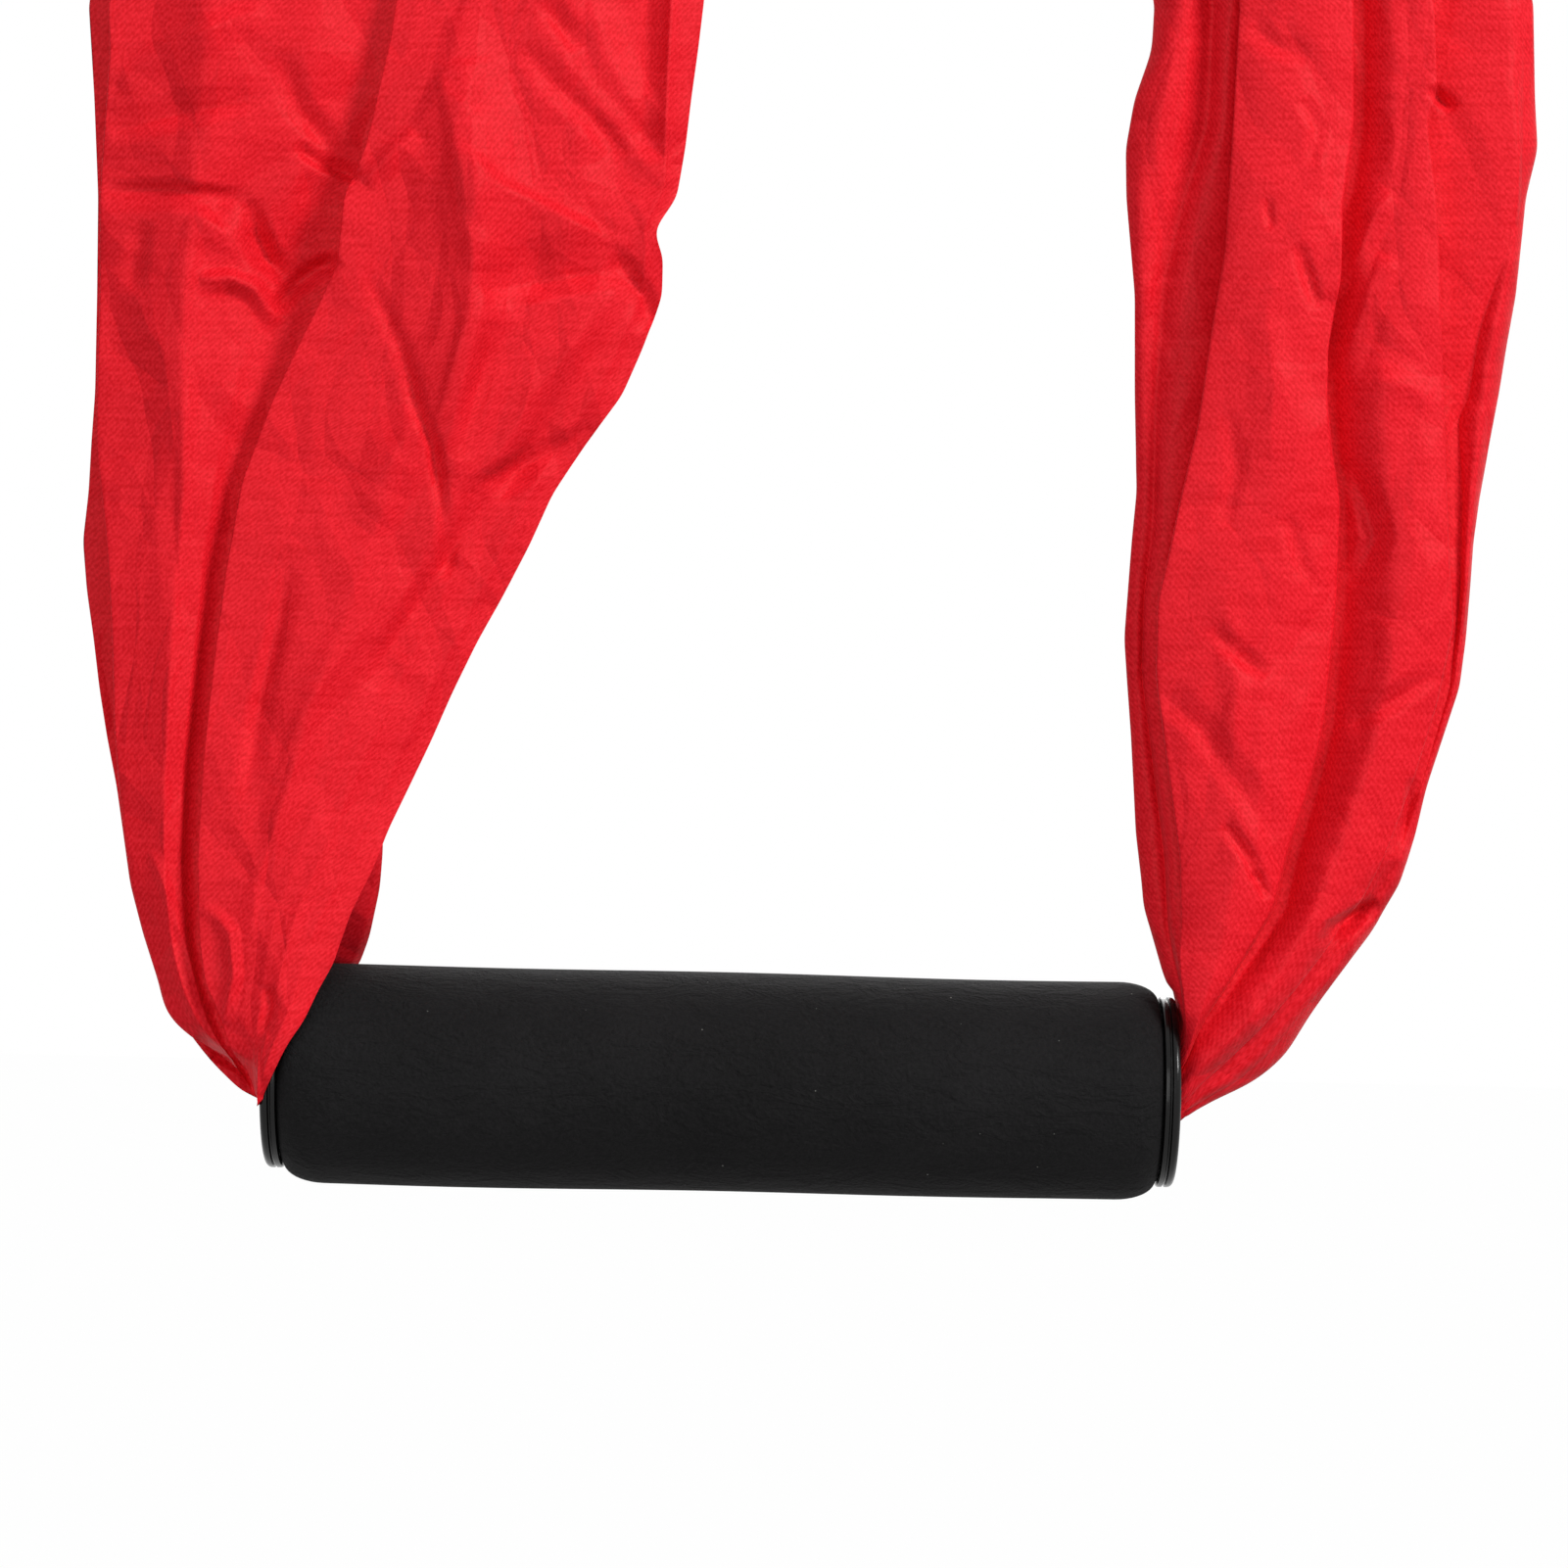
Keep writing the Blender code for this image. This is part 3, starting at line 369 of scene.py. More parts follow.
# Each fold line runs from the top of the picture down to the collar's mouth: its points are
# (row, column, mm in front of the grip's axis), and its end is (front-back, height) in mm in the mouth.
# The lines go once round the strip's folded section, from the hem at the front to the hem inside.
left_lines = (
    ("front hem", (-8.2, -3.6), (
        (0, 719, 2.0), (50, 713, 2.2), (100, 706, 2.4), (150, 700, 2.6), (202, 691, 2.8), (232, 670, 4.0),
        (243, 670, 4.2), (262, 677, 3.0), (303, 676, 2.5), (354, 657, 2.5), (404, 635, 2.8),
        (455, 597, 3.2), (505, 564, 3.6), (556, 541, 3.8), (606, 515, 4.0), (656, 487, 4.4),
        (707, 462, 5.0), (757, 440, 5.6), (807, 416, 6.5), (846, 397, 7.5), (887, 381, 9.0),
        (930, 359, 10.5), (967, 346, 11.6), (983, 341, 12.4), (1011, 325, 12.8), (1043, 310, 14.6),
        (1065, 294, 15.3), (1091, 281, 15.0), (1107, 274, 14.6), (1120, 268, 14.2), (1128, 263.5, 12.0))),
    ("inner edge of the hem", (-7.8, -3.9), (
        (0, 685, 4.2), (100, 681, 4.4), (188, 679, 4.6), (232, 658, 5.0), (262, 660, 4.5), (303, 655, 4.0),
        (354, 632, 4.0), (404, 608, 4.2), (455, 572, 4.6), (505, 540, 5.0), (606, 490, 5.4),
        (707, 438, 6.4), (807, 391, 7.8), (887, 350, 10.0), (930, 330, 11.2), (967, 314, 12.4),
        (1011, 302, 13.8), (1043, 290, 14.9), (1065, 279, 15.2), (1091, 270, 14.6), (1107, 266, 13.8),
        (1118, 264, 13.0), (1128, 262.8, 11.4))),
    ("hollow beside the hem", (-7.0, -4.2), (
        (0, 662, 1.8), (60, 660, 2.0), (120, 656, 2.6), (188, 645, 4.0), (232, 630, 5.0), (300, 606, 5.0),
        (354, 584, 5.2), (404, 560, 5.6), (455, 530, 6.0), (505, 500, 6.4), (606, 452, 6.8),
        (707, 402, 7.6), (807, 358, 9.0), (887, 322, 10.8), (930, 303, 11.8), (967, 292, 12.8),
        (1000, 285, 13.4), (1040, 276, 14.0), (1065, 270, 14.2), (1091, 264.5, 13.6), (1107, 262.5, 12.8),
        (1128, 262.4, 10.8))),
    ("right panel", (-5.8, -4.4), (
        (0, 585, 6.5), (60, 580, 6.8), (120, 595, 6.8), (170, 600, 6.4), (240, 590, 6.6), (300, 560, 7.0),
        (380, 520, 7.2), (450, 480, 7.4), (520, 455, 7.6), (606, 415, 8.0), (707, 368, 8.6),
        (807, 330, 9.8), (887, 298, 11.2), (930, 283, 12.0), (967, 274, 12.6), (1000, 269, 12.9),
        (1040, 264, 13.0), (1065, 261, 12.8), (1091, 259, 12.2), (1107, 260, 11.6), (1128, 262.2, 10.2))),
    ("middle ridge", (-4.6, -4.5), (
        (0, 480, 8.0), (85, 453, 8.8), (179, 474, 9.4), (268, 484, 9.8), (321, 480, 9.6), (423, 452, 9.0),
        (459, 420, 8.8), (536, 385, 9.0), (606, 360, 9.2), (707, 322, 9.8), (807, 290, 10.6),
        (887, 268, 11.4), (930, 258, 11.8), (967, 253, 12.0), (1000, 251, 12.0), (1040, 251, 12.0),
        (1065, 252, 11.8), (1091, 256, 11.2), (1107, 258.5, 10.6), (1128, 262, 9.4))),
    ("overlapping edge", (-3.6, -4.5), (
        (0, 404, 7.4), (41, 398, 7.6), (152, 372, 8.0), (200, 350, 8.2), (240, 346, 8.4), (268, 343, 8.4),
        (308, 326, 8.0), (353, 303, 7.6), (411, 276, 7.2), (491, 246, 7.4), (580, 230, 7.8),
        (663, 219, 8.2), (783, 206, 8.8), (878, 201, 9.6), (930, 202, 10.0), (960, 203, 10.3),
        (1004, 209, 10.5), (1039, 226, 10.6), (1059, 231, 10.6), (1086, 243, 10.4), (1097, 253, 10.4),
        (1113, 259, 9.8), (1128, 262, 8.8))),
    ("under the edge", (-2.4, -3.4), (
        (0, 414, 4.2), (152, 384, 3.4), (200, 364, 2.9), (268, 358, 2.0), (308, 340, 2.2), (353, 315, 3.2),
        (411, 288, 3.7), (491, 258, 3.8), (580, 242, 4.1), (663, 231, 4.2), (783, 217, 4.4),
        (878, 211, 4.8), (930, 208, 5.5), (960, 209, 6.0), (1004, 215, 6.7), (1039, 232, 7.3),
        (1059, 237, 7.6), (1086, 247, 8.0), (1097, 256, 8.0), (1113, 260, 8.0), (1128, 262, 7.6))),
    ("valley floor", (-2.0, -3.6), (
        (0, 390, 4.4), (152, 359, 3.4), (200, 334, 2.5), (268, 326, 1.6), (308, 303, 2.4), (353, 283, 3.6),
        (411, 260, 4.2), (491, 236, 4.4), (580, 222, 4.2), (663, 211, 4.3), (783, 198, 4.6),
        (878, 195, 4.8), (930, 197, 5.3), (960, 198, 5.6), (1004, 204, 6.2), (1039, 221, 6.7),
        (1059, 227, 7.0), (1086, 239, 7.1), (1097, 249, 7.0), (1113, 257, 7.0), (1128, 261.8, 6.6))),
    ("left slope", (-1.4, -4.4), (
        (0, 330, 6.4), (100, 318, 6.2), (170, 310, 5.4), (240, 290, 3.6), (300, 266, 3.7), (370, 248, 5.2),
        (429, 232, 5.8), (491, 220, 6.1), (580, 208, 6.6), (663, 200, 6.7), (783, 188, 6.8),
        (878, 185, 7.0), (930, 188, 7.3), (972, 193, 7.5), (1033, 208, 8.2), (1059, 220, 8.6),
        (1086, 236, 8.4), (1104, 251, 7.6), (1128, 261.6, 6.4))),
    ("left ridge", (-0.4, -4.4), (
        (0, 215, 8.2), (100, 205, 8.4), (200, 196, 8.6), (286, 188, 8.8), (500, 186, 8.8), (600, 178, 8.8),
        (700, 172, 8.8), (800, 168, 8.8), (868, 167, 8.8), (930, 171, 8.8), (972, 177, 8.8),
        (1010, 187, 8.8), (1040, 200, 8.6), (1060, 215, 8.4), (1082, 233, 7.8), (1104, 252, 7.0),
        (1127, 261.4, 6.0))),
    ("front fold at the left", (0.8, -4.4), (
        (0, 105, 4.8), (50, 107, 5.0), (100, 104, 5.0), (150, 100, 4.4), (200, 97, 3.6), (300, 97, 3.4),
        (402, 94, 3.4), (451, 93, 3.6), (490, 97, 4.6), (550, 104, 5.0), (602, 108, 5.2), (665, 111, 5.2),
        (740, 113, 5.4), (793, 117, 5.4), (851, 124, 5.4), (902, 131, 5.4), (952, 145, 5.4),
        (1002, 161, 5.4), (1020, 166, 5.4), (1034, 171, 5.4), (1049, 183, 5.6), (1064, 203, 5.8),
        (1081, 227, 6.0), (1096, 247, 5.8), (1110, 256, 5.6), (1126, 261.2, 5.2))),
    ("behind the front fold", (0.4, -3.0), (
        (0, 135, 1.2), (200, 130, 0.8), (400, 125, 0.8), (600, 138, 0.8), (800, 140, 0.4), (952, 150, 2.4),
        (1002, 166, 2.4), (1034, 177, 2.6), (1049, 190, 2.8), (1064, 209, 3.0), (1081, 232, 3.2),
        (1096, 250, 3.2), (1110, 257, 3.0), (1125, 261, 2.8))),
    ("outer edge", (1.4, -4.2), (
        (0, 89, 0.4), (100, 95, 0.2), (150, 97, 0.2), (200, 99, 0.0), (300, 98, -0.5), (400, 96, -0.5),
        (451, 92, -0.2), (502, 89, 0.0), (552, 83, 0.3), (602, 87, 0.3), (651, 94, 0.2), (702, 100, 0.0),
        (752, 108, 0.0), (802, 118, -0.2), (851, 125, -0.4), (902, 132, -0.6), (952, 145, -0.6),
        (1002, 161, -0.6), (1020, 165, 0.6), (1034, 170, 1.4), (1049, 182, 2.2), (1064, 202, 2.8),
        (1081, 226, 3.2), (1096, 246, 3.0), (1110, 255, 2.6), (1125, 261, 2.0))),
    ("under the outer edge", (2.0, -3.8), (
        (0, 104, -2.4), (200, 112, -2.8), (451, 108, -2.8), (602, 104, -2.8), (752, 122, -2.8),
        (902, 142, -2.6), (952, 153, -2.4), (1002, 167, -2.0), (1034, 180, -1.6), (1049, 191, -1.2),
        (1064, 208, -1.0), (1081, 230, -0.8), (1096, 249, -0.6), (1110, 257, -0.6), (1125, 261, -0.4))),
    ("back 1", (3.6, -4.4), (
        (0, 150, -6.5), (200, 150, -7.0), (400, 148, -7.0), (600, 142, -7.0), (800, 160, -7.0),
        (902, 150, -4.4), (952, 158, -4.4), (1002, 170, -4.2), (1034, 182, -3.4), (1050, 190, -2.6),
        (1064, 200, -2.0), (1084, 216, -1.8), (1107, 239, -1.8), (1118, 252, -1.8), (1125, 260, -1.6))),
    ("back 2", (5.8, -2.2), (
        (0, 230, -3.4), (300, 236, -3.2), (600, 214, -3.4), (800, 206, -4.0), (900, 204, -4.8), (952, 208, -5.4),
        (1002, 216, -5.8), (1040, 226, -6.0), (1078, 240, -6.0), (1101, 247, -5.4), (1118, 256, -4.4))),
    ("back 3", (7.2, -0.6), (
        (0, 320, -9.0), (300, 330, -9.4), (600, 280, -9.6), (800, 252, -9.8), (900, 240, -10.0), (952, 238, -10.2),
        (1002, 240, -10.4), (1040, 244, -10.4), (1078, 250, -9.6), (1101, 254, -8.4), (1116, 258, -7.0))),
    ("back 4", (8.0, 1.2), (
        (0, 440, -4.5), (300, 430, -4.6), (600, 340, -5.4), (800, 286, -6.8), (900, 268, -8.0), (952, 262, -9.0),
        (1002, 260, -9.8), (1040, 259, -10.2), (1078, 259, -9.6), (1101, 259, -8.6))),
    ("back 5", (7.8, 3.6), (
        (0, 560, -8.0), (300, 540, -8.2), (600, 410, -8.4), (800, 332, -9.2), (900, 312, -10.0), (952, 300, -11.0),
        (1002, 286, -12.4), (1040, 272, -13.4), (1066, 260, -12.0), (1090, 259, -10.0))),
    ("back 6", (7.0, 5.6), (
        (0, 650, -4.0), (200, 630, -4.0), (300, 620, -4.4), (404, 585, -4.6), (505, 520, -5.0), (606, 470, -5.4),
        (707, 420, -6.0), (807, 380, -6.6), (857, 372, -7.0), (907, 362, -8.0), (957, 345, -10.4),
        (1002, 318, -13.0), (1040, 288, -14.4), (1066, 268, -13.8), (1080, 259, -11.6))),
    ("back edge at the right", (5.4, 7.0), (
        (0, 700, -1.0), (202, 676, -1.0), (232, 660, -1.0), (303, 662, -1.2), (404, 622, -1.4), (505, 550, -1.6),
        (606, 502, -1.8), (707, 450, -2.0), (807, 406, -2.4), (840, 396, -2.6), (870, 397, -3.0), (907, 395, -4.0),
        (957, 386, -6.5), (984, 377, -9.0), (1010, 350, -12.4), (1035, 312, -14.8), (1055, 280, -14.0),
        (1070, 260, -11.5))),
    ("inside 1", (2.0, 8.0), (
        (0, 600, 0.0), (200, 590, 0.0), (404, 540, 0.0), (606, 440, 0.0), (807, 350, 0.0), (907, 315, -1.0),
        (957, 285, -2.0), (1002, 259, -3.0), (1040, 256, -4.0), (1065, 255, -4.0))),
    ("inside 2", (-1.5, 8.2), (
        (0, 480, 1.0), (300, 470, 1.0), (606, 350, 1.0), (807, 290, 1.0), (907, 262, 1.0), (957, 250, 0.5),
        (1002, 244, 0.0), (1040, 242, 0.0), (1065, 248, 0.0))),
    ("inner hem", (-4.5, 7.0), (
        (0, 380, -0.5), (300, 370, -0.5), (606, 290, 0.0), (807, 250, 0.0), (907, 235, 0.0), (957, 228, 0.0),
        (1002, 228, 0.0), (1040, 232, 0.5), (1070, 244, 1.0))),
)
right_lines = (
    ("inner hem", (-3.0, 7.4), (
        (0, 1215, 1.0), (200, 1200, 1.0), (400, 1190, 1.0), (600, 1185, 1.0), (800, 1190, 1.0),
        (900, 1195, 1.0), (970, 1204, 1.5), (1006, 1197, 2.0), (1026, 1201, 2.0), (1046, 1206, 1.0))),
    ("inner edge", (-4.4, 6.8), (
        (0, 1178, 1.5), (52, 1175, 1.8), (102, 1157, 2.0), (152, 1148, 2.2), (202, 1149, 2.2),
        (301, 1158, 2.0), (402, 1158, 1.5), (502, 1160, 1.2), (551, 1155, 1.0), (652, 1147, 0.6),
        (751, 1154, 0.4), (851, 1159, 0.4), (902, 1165, 0.8), (926, 1167, 1.2), (952, 1175, 1.8),
        (969, 1180, 2.2), (990, 1186, 2.8), (1004, 1191, 3.4), (1013, 1199, 3.8), (1024, 1203, 4.2),
        (1036, 1207, 4.6), (1050, 1210, 5.0))),
    ("panel a", (-5.2, 6.2), (
        (0, 1205, 5.5), (52, 1200, 5.8), (102, 1188, 6.0), (152, 1180, 5.7), (204, 1170, 5.0),
        (286, 1168, 3.6), (409, 1168, 2.7), (502, 1169, 2.4), (600, 1163, 2.2), (690, 1160, 2.2),
        (766, 1168, 2.3), (877, 1180, 3.2), (943, 1185, 4.4), (969, 1190, 5.0), (990, 1196, 5.6),
        (1006, 1202, 6.0), (1022, 1206, 6.4), (1038, 1209, 6.8), (1054, 1210, 6.8))),
    ("valley a", (-5.4, 5.4), (
        (0, 1239, 1.8), (128, 1234, 1.7), (204, 1209, 1.7), (286, 1188, 1.7), (409, 1181, 1.6),
        (536, 1178, 1.6), (613, 1168, 1.4), (690, 1166, 1.2), (766, 1176, 1.2), (877, 1190, 2.2),
        (943, 1193, 4.0), (969, 1197, 5.0), (990, 1202, 5.9), (1006, 1206, 6.4), (1024, 1208, 6.8),
        (1042, 1210, 7.2), (1057, 1211, 7.0))),
    ("strip b", (-6.2, 4.8), (
        (0, 1256, 5.6), (128, 1248, 5.4), (204, 1230, 4.8), (286, 1214, 4.4), (409, 1200, 4.3),
        (536, 1188, 3.8), (613, 1172, 2.9), (690, 1170, 2.8), (766, 1180, 3.7), (877, 1195, 5.5),
        (943, 1198, 7.0), (969, 1202, 7.6), (990, 1206, 8.0), (1006, 1209, 8.4), (1024, 1211, 8.8),
        (1042, 1212, 8.8), (1060, 1211.5, 8.2))),
    ("under the main panel", (-6.2, 4.0), (
        (0, 1277, 3.0), (128, 1270, 3.1), (255, 1263, 2.8), (332, 1251, 2.9), (434, 1237, 3.1),
        (511, 1219, 3.2), (572, 1205, 3.5), (613, 1194, 3.5), (690, 1192, 3.9), (766, 1201, 4.4),
        (877, 1215, 5.9), (943, 1215, 7.2), (980, 1218, 8.0), (1006, 1220, 8.6), (1030, 1219, 8.8),
        (1048, 1215, 8.8), (1064, 1212, 7.8))),
    ("main panel's left edge", (-7.0, 3.4), (
        (0, 1266, 8.6), (128, 1259, 8.8), (255, 1251, 9.2), (332, 1238, 9.4), (434, 1223, 9.6),
        (511, 1205, 9.6), (572, 1192, 9.6), (613, 1182, 9.6), (690, 1180, 9.6), (766, 1190, 9.8),
        (877, 1205, 10.2), (943, 1206, 10.4), (970, 1204, 11.0), (994, 1205, 11.6), (1014, 1208, 12.0),
        (1034, 1210, 12.0), (1050, 1211, 11.0), (1066, 1211.5, 9.4))),
    ("main panel", (-7.4, 2.4), (
        (0, 1325, 10.0), (128, 1320, 10.2), (255, 1312, 10.8), (350, 1302, 11.4), (434, 1298, 11.4),
        (536, 1290, 11.4), (640, 1280, 11.6), (741, 1278, 11.8), (841, 1268, 12.0), (900, 1258, 12.2),
        (960, 1249, 12.2), (1000, 1238, 12.4), (1030, 1228, 12.4), (1055, 1219, 11.6),
        (1074, 1212.5, 10.0))),
    ("main panel's right edge", (-7.6, 1.2), (
        (0, 1382, 8.6), (128, 1382, 8.8), (204, 1371, 9.2), (286, 1368, 9.6), (358, 1355, 9.8),
        (409, 1355, 9.8), (460, 1360, 9.2), (511, 1368, 8.4), (613, 1364, 8.0), (741, 1350, 8.2),
        (800, 1336, 8.6), (866, 1314, 9.0), (928, 1298, 9.6), (965, 1276, 10.4), (1000, 1254, 11.0),
        (1032, 1233, 11.2), (1058, 1220, 10.6), (1079, 1212.5, 9.6))),
    ("under the right edge", (-6.8, 0.8), (
        (0, 1372, 3.2), (128, 1372, 3.2), (204, 1362, 3.2), (286, 1358, 3.4), (358, 1347, 3.6),
        (409, 1347, 3.8), (460, 1353, 4.0), (511, 1361, 4.2), (613, 1361, 4.1), (741, 1348, 3.9),
        (800, 1335, 3.8), (866, 1314, 4.0), (928, 1299, 5.0), (965, 1277, 6.0), (1000, 1256, 7.1),
        (1032, 1235, 8.0), (1058, 1221, 8.4), (1081, 1212.5, 8.4))),
    ("valley floor", (-6.8, 0.2), (
        (0, 1392, 3.0), (128, 1392, 3.0), (204, 1380, 3.2), (286, 1376, 3.4), (358, 1364, 3.6),
        (409, 1362, 3.7), (460, 1366, 3.8), (511, 1374, 4.0), (613, 1374, 3.9), (741, 1361, 3.7),
        (800, 1348, 3.4), (866, 1328, 3.6), (928, 1314, 4.6), (947, 1302, 5.0), (980, 1279, 6.0),
        (1013, 1257, 7.2), (1040, 1238, 8.2), (1064, 1222, 8.7), (1083, 1212.5, 8.8))),
    ("panel d", (-7.8, -1.8), (
        (0, 1424, 7.0), (60, 1424, 7.2), (128, 1424, 7.4), (204, 1420, 8.0), (286, 1418, 8.6),
        (358, 1412, 9.2), (409, 1410, 9.6), (511, 1420, 9.8), (613, 1424, 9.8), (700, 1415, 10.0),
        (800, 1390, 10.2), (866, 1366, 10.4), (928, 1343, 10.4), (979, 1315, 10.8), (1025, 1288, 11.0),
        (1060, 1258, 11.0), (1085, 1230, 10.6), (1106, 1210.5, 9.6))),
    ("panel d's right edge", (-7.2, -3.4), (
        (0, 1464, 7.0), (100, 1468, 7.2), (122, 1456, 7.4), (200, 1466, 7.6), (255, 1469, 8.0),
        (409, 1474, 8.2), (562, 1479, 8.2), (639, 1484, 7.8), (715, 1468, 7.6), (800, 1442, 7.8),
        (877, 1412, 8.0), (923, 1388, 8.2), (963, 1358, 8.6), (1007, 1325, 8.8), (1045, 1292, 8.8),
        (1080, 1256, 8.8), (1106, 1226, 8.6), (1121, 1209.5, 7.8))),
    ("under panel d", (-6.4, -3.2), (
        (0, 1456, 2.6), (128, 1449, 2.8), (255, 1460, 3.0), (409, 1465, 3.2), (562, 1470, 3.4),
        (639, 1476, 3.6), (715, 1461, 4.0), (800, 1436, 4.4), (877, 1407, 4.8), (923, 1384, 5.2),
        (963, 1355, 5.6), (1007, 1322, 6.4), (1045, 1290, 6.8), (1080, 1255, 7.0), (1106, 1226, 7.0),
        (1122, 1209.5, 6.6))),
    ("outer valley", (-6.4, -3.8), (
        (0, 1472, 2.4), (128, 1470, 2.6), (255, 1478, 2.8), (409, 1482, 3.0), (562, 1486, 3.2),
        (639, 1490, 3.2), (715, 1474, 3.6), (800, 1449, 4.0), (877, 1420, 4.4), (923, 1396, 4.8),
        (963, 1366, 5.2), (1007, 1333, 6.0), (1045, 1300, 6.4), (1080, 1263, 6.6), (1108, 1230, 6.6),
        (1125, 1209.5, 6.2))),
    ("dark panel's right edge", (-6.0, -4.2), (
        (0, 1535, 4.2), (100, 1545, 4.4), (152, 1550, 4.4), (202, 1548, 4.2), (245, 1543, 4.0),
        (335, 1512, 3.0), (410, 1499, 2.8), (425, 1489, 2.8), (510, 1493, 2.8), (600, 1491, 3.0),
        (702, 1481, 3.4), (802, 1451, 4.0), (877, 1427, 4.4), (923, 1402, 4.8), (963, 1375, 5.0),
        (1007, 1343, 5.8), (1045, 1309, 6.0), (1080, 1275, 6.2), (1110, 1236, 6.2), (1127, 1209, 5.8))),
    ("outer hem", (-5.0, -4.6), (
        (0, 1556, 3.0), (202, 1553, 3.0), (245, 1547, 3.8), (335, 1527, 4.8), (410, 1514, 5.0),
        (510, 1503, 4.8), (600, 1497, 4.4), (702, 1486, 4.0), (802, 1454, 4.0), (902, 1423, 4.0),
        (1000, 1358, 4.6), (1040, 1324, 4.6), (1075, 1296, 4.6), (1105, 1262, 4.6), (1121, 1230, 4.6),
        (1132, 1208.5, 4.4))),
    ("outer edge", (-3.6, -5.0), (
        (0, 1566, 0.5), (101, 1568, 0.4), (152, 1571, 0.2), (202, 1558, 0.4), (302, 1548, 0.8),
        (352, 1539, 0.8), (402, 1531, 0.8), (452, 1521, 0.8), (502, 1512, 0.8), (553, 1503, 0.6),
        (652, 1496, 0.4), (702, 1489, 0.4), (752, 1472, 0.4), (802, 1455, 0.4), (851, 1445, 0.2),
        (902, 1429, 0.0), (952, 1400, 0.0), (999, 1363, 0.0), (1019, 1349, 0.0), (1040, 1335, 0.2),
        (1062, 1322, 0.4), (1075, 1314, 0.8), (1092, 1297, 1.4), (1107, 1276, 2.0), (1119, 1250, 2.6),
        (1129, 1227, 2.8), (1136, 1207.5, 2.6))),
    ("back 1", (0.6, -4.6), (
        (0, 1520, -6.5), (300, 1500, -6.6), (500, 1468, -6.6), (700, 1448, -6.8), (800, 1418, -7.0),
        (902, 1388, -7.0), (1000, 1340, -5.0), (1060, 1296, -4.4), (1100, 1258, -3.0), (1116, 1234, -2.0),
        (1130, 1207, -1.0))),
    ("back 2", (3.2, -4.6), (
        (0, 1460, -3.0), (300, 1446, -3.0), (500, 1420, -3.4), (700, 1400, -3.8), (800, 1372, -4.2),
        (902, 1340, -4.8), (1000, 1300, -5.4), (1060, 1262, -5.4), (1102, 1236, -4.8), (1124, 1216, -4.0))),
    ("back 3", (6.6, -1.0), (
        (0, 1400, -8.8), (300, 1385, -9.0), (500, 1365, -9.4), (700, 1345, -9.8), (800, 1325, -10.0),
        (902, 1296, -10.2), (1000, 1258, -10.2), (1060, 1236, -9.6), (1102, 1223, -8.2))),
    ("back 4", (7.6, 0.8), (
        (0, 1335, -4.4), (300, 1318, -4.6), (500, 1300, -5.0), (700, 1282, -5.6), (800, 1268, -6.2),
        (902, 1248, -7.4), (1000, 1228, -8.4), (1060, 1220, -8.4), (1095, 1219, -7.8))),
    ("back 5", (8.0, 2.6), (
        (0, 1270, -7.8), (300, 1250, -8.2), (500, 1235, -8.4), (700, 1222, -8.8), (800, 1216, -9.4),
        (902, 1214, -10.4), (970, 1213, -11.6), (1020, 1216, -12.4), (1055, 1219, -11.4), (1085, 1219, -9.6))),
    ("back 6", (7.2, 4.8), (
        (0, 1205, -3.6), (200, 1180, -3.6), (400, 1184, -3.8), (600, 1172, -4.0), (800, 1174, -4.8),
        (902, 1182, -6.4), (970, 1194, -9.0), (1005, 1199, -11.0), (1030, 1204, -11.5),
        (1062, 1208, -10.0))),
    ("back edge at the left", (5.4, 6.6), (
        (0, 1190, -1.2), (102, 1168, -1.0), (202, 1160, -1.0), (402, 1168, -1.2), (652, 1156, -1.4),
        (851, 1168, -1.8), (930, 1178, -3.0), (980, 1190, -5.0), (1000, 1194, -6.5), (1016, 1198, -7.5),
        (1035, 1202, -8.0), (1056, 1206, -7.6))),
    ("inside 1", (2.4, 7.8), (
        (0, 1290, 0.0), (300, 1275, 0.0), (600, 1255, 0.0), (800, 1245, -1.0), (900, 1236, -2.0), (970, 1228, -3.0),
        (1020, 1222, -4.0), (1055, 1219, -4.0))),
    ("inside 2", (-1.0, 7.6), (
        (0, 1400, 0.2), (300, 1385, 0.2), (600, 1360, 0.4), (800, 1325, 0.4), (900, 1296, 0.4), (970, 1266, 0.2),
        (1020, 1242, 0.0), (1056, 1226, 0.0))),
    ("inner fold", (0.6, 5.2), (
        (0, 1480, -0.4), (300, 1462, -0.4), (600, 1430, -0.4), (800, 1388, 0.0), (900, 1352, 0.0), (970, 1314, 0.0),
        (1020, 1280, 0.2), (1060, 1240, 0.6), (1070, 1226, 0.8))),
)

# Rows of the cloth: out of the collar, through its mouth, up the picture, and on to the sling
collar_rows = 6
mouth_rows = 52
picture_rows = 330
upper_rows = 108
level_row = 975  # the picture row down to which a cross-section is level
cloth_columns = 236
split_row = collar_rows + mouth_rows + picture_rows + 4  # each leg is two pieces that meet just above the picture
bore_in = 0.0060  # how far the legs reach into the collar
mouth_x = 0.0643
bundle_reach = 0.0109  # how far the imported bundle's middle is from the sling's middle
bundle_half = (0.0061, 0.0090)  # its half width and half depth
loop_top = 0.3297

# The legs above the picture: height over the grip, how far the inner and the outer side are from its
# middle, and the share of the depth that is left. Their first row takes its sides from the fold lines.
left_upper = ((0.1516, None, None, 1.0), (0.198, 0.0030, 0.0837, 0.98), (0.251, 0.0007, 0.0567, 0.90),
              (0.297, -0.0013, 0.0264, 0.80), (0.3297, -0.0017, 0.0113, 0.78))
right_upper = ((0.1516, None, None, 1.0), (0.198, 0.0501, 0.1054, 0.98), (0.251, 0.0330, 0.0791, 0.90),
               (0.297, 0.0165, 0.0461, 0.80), (0.3297, 0.0103, 0.0233, 0.78))


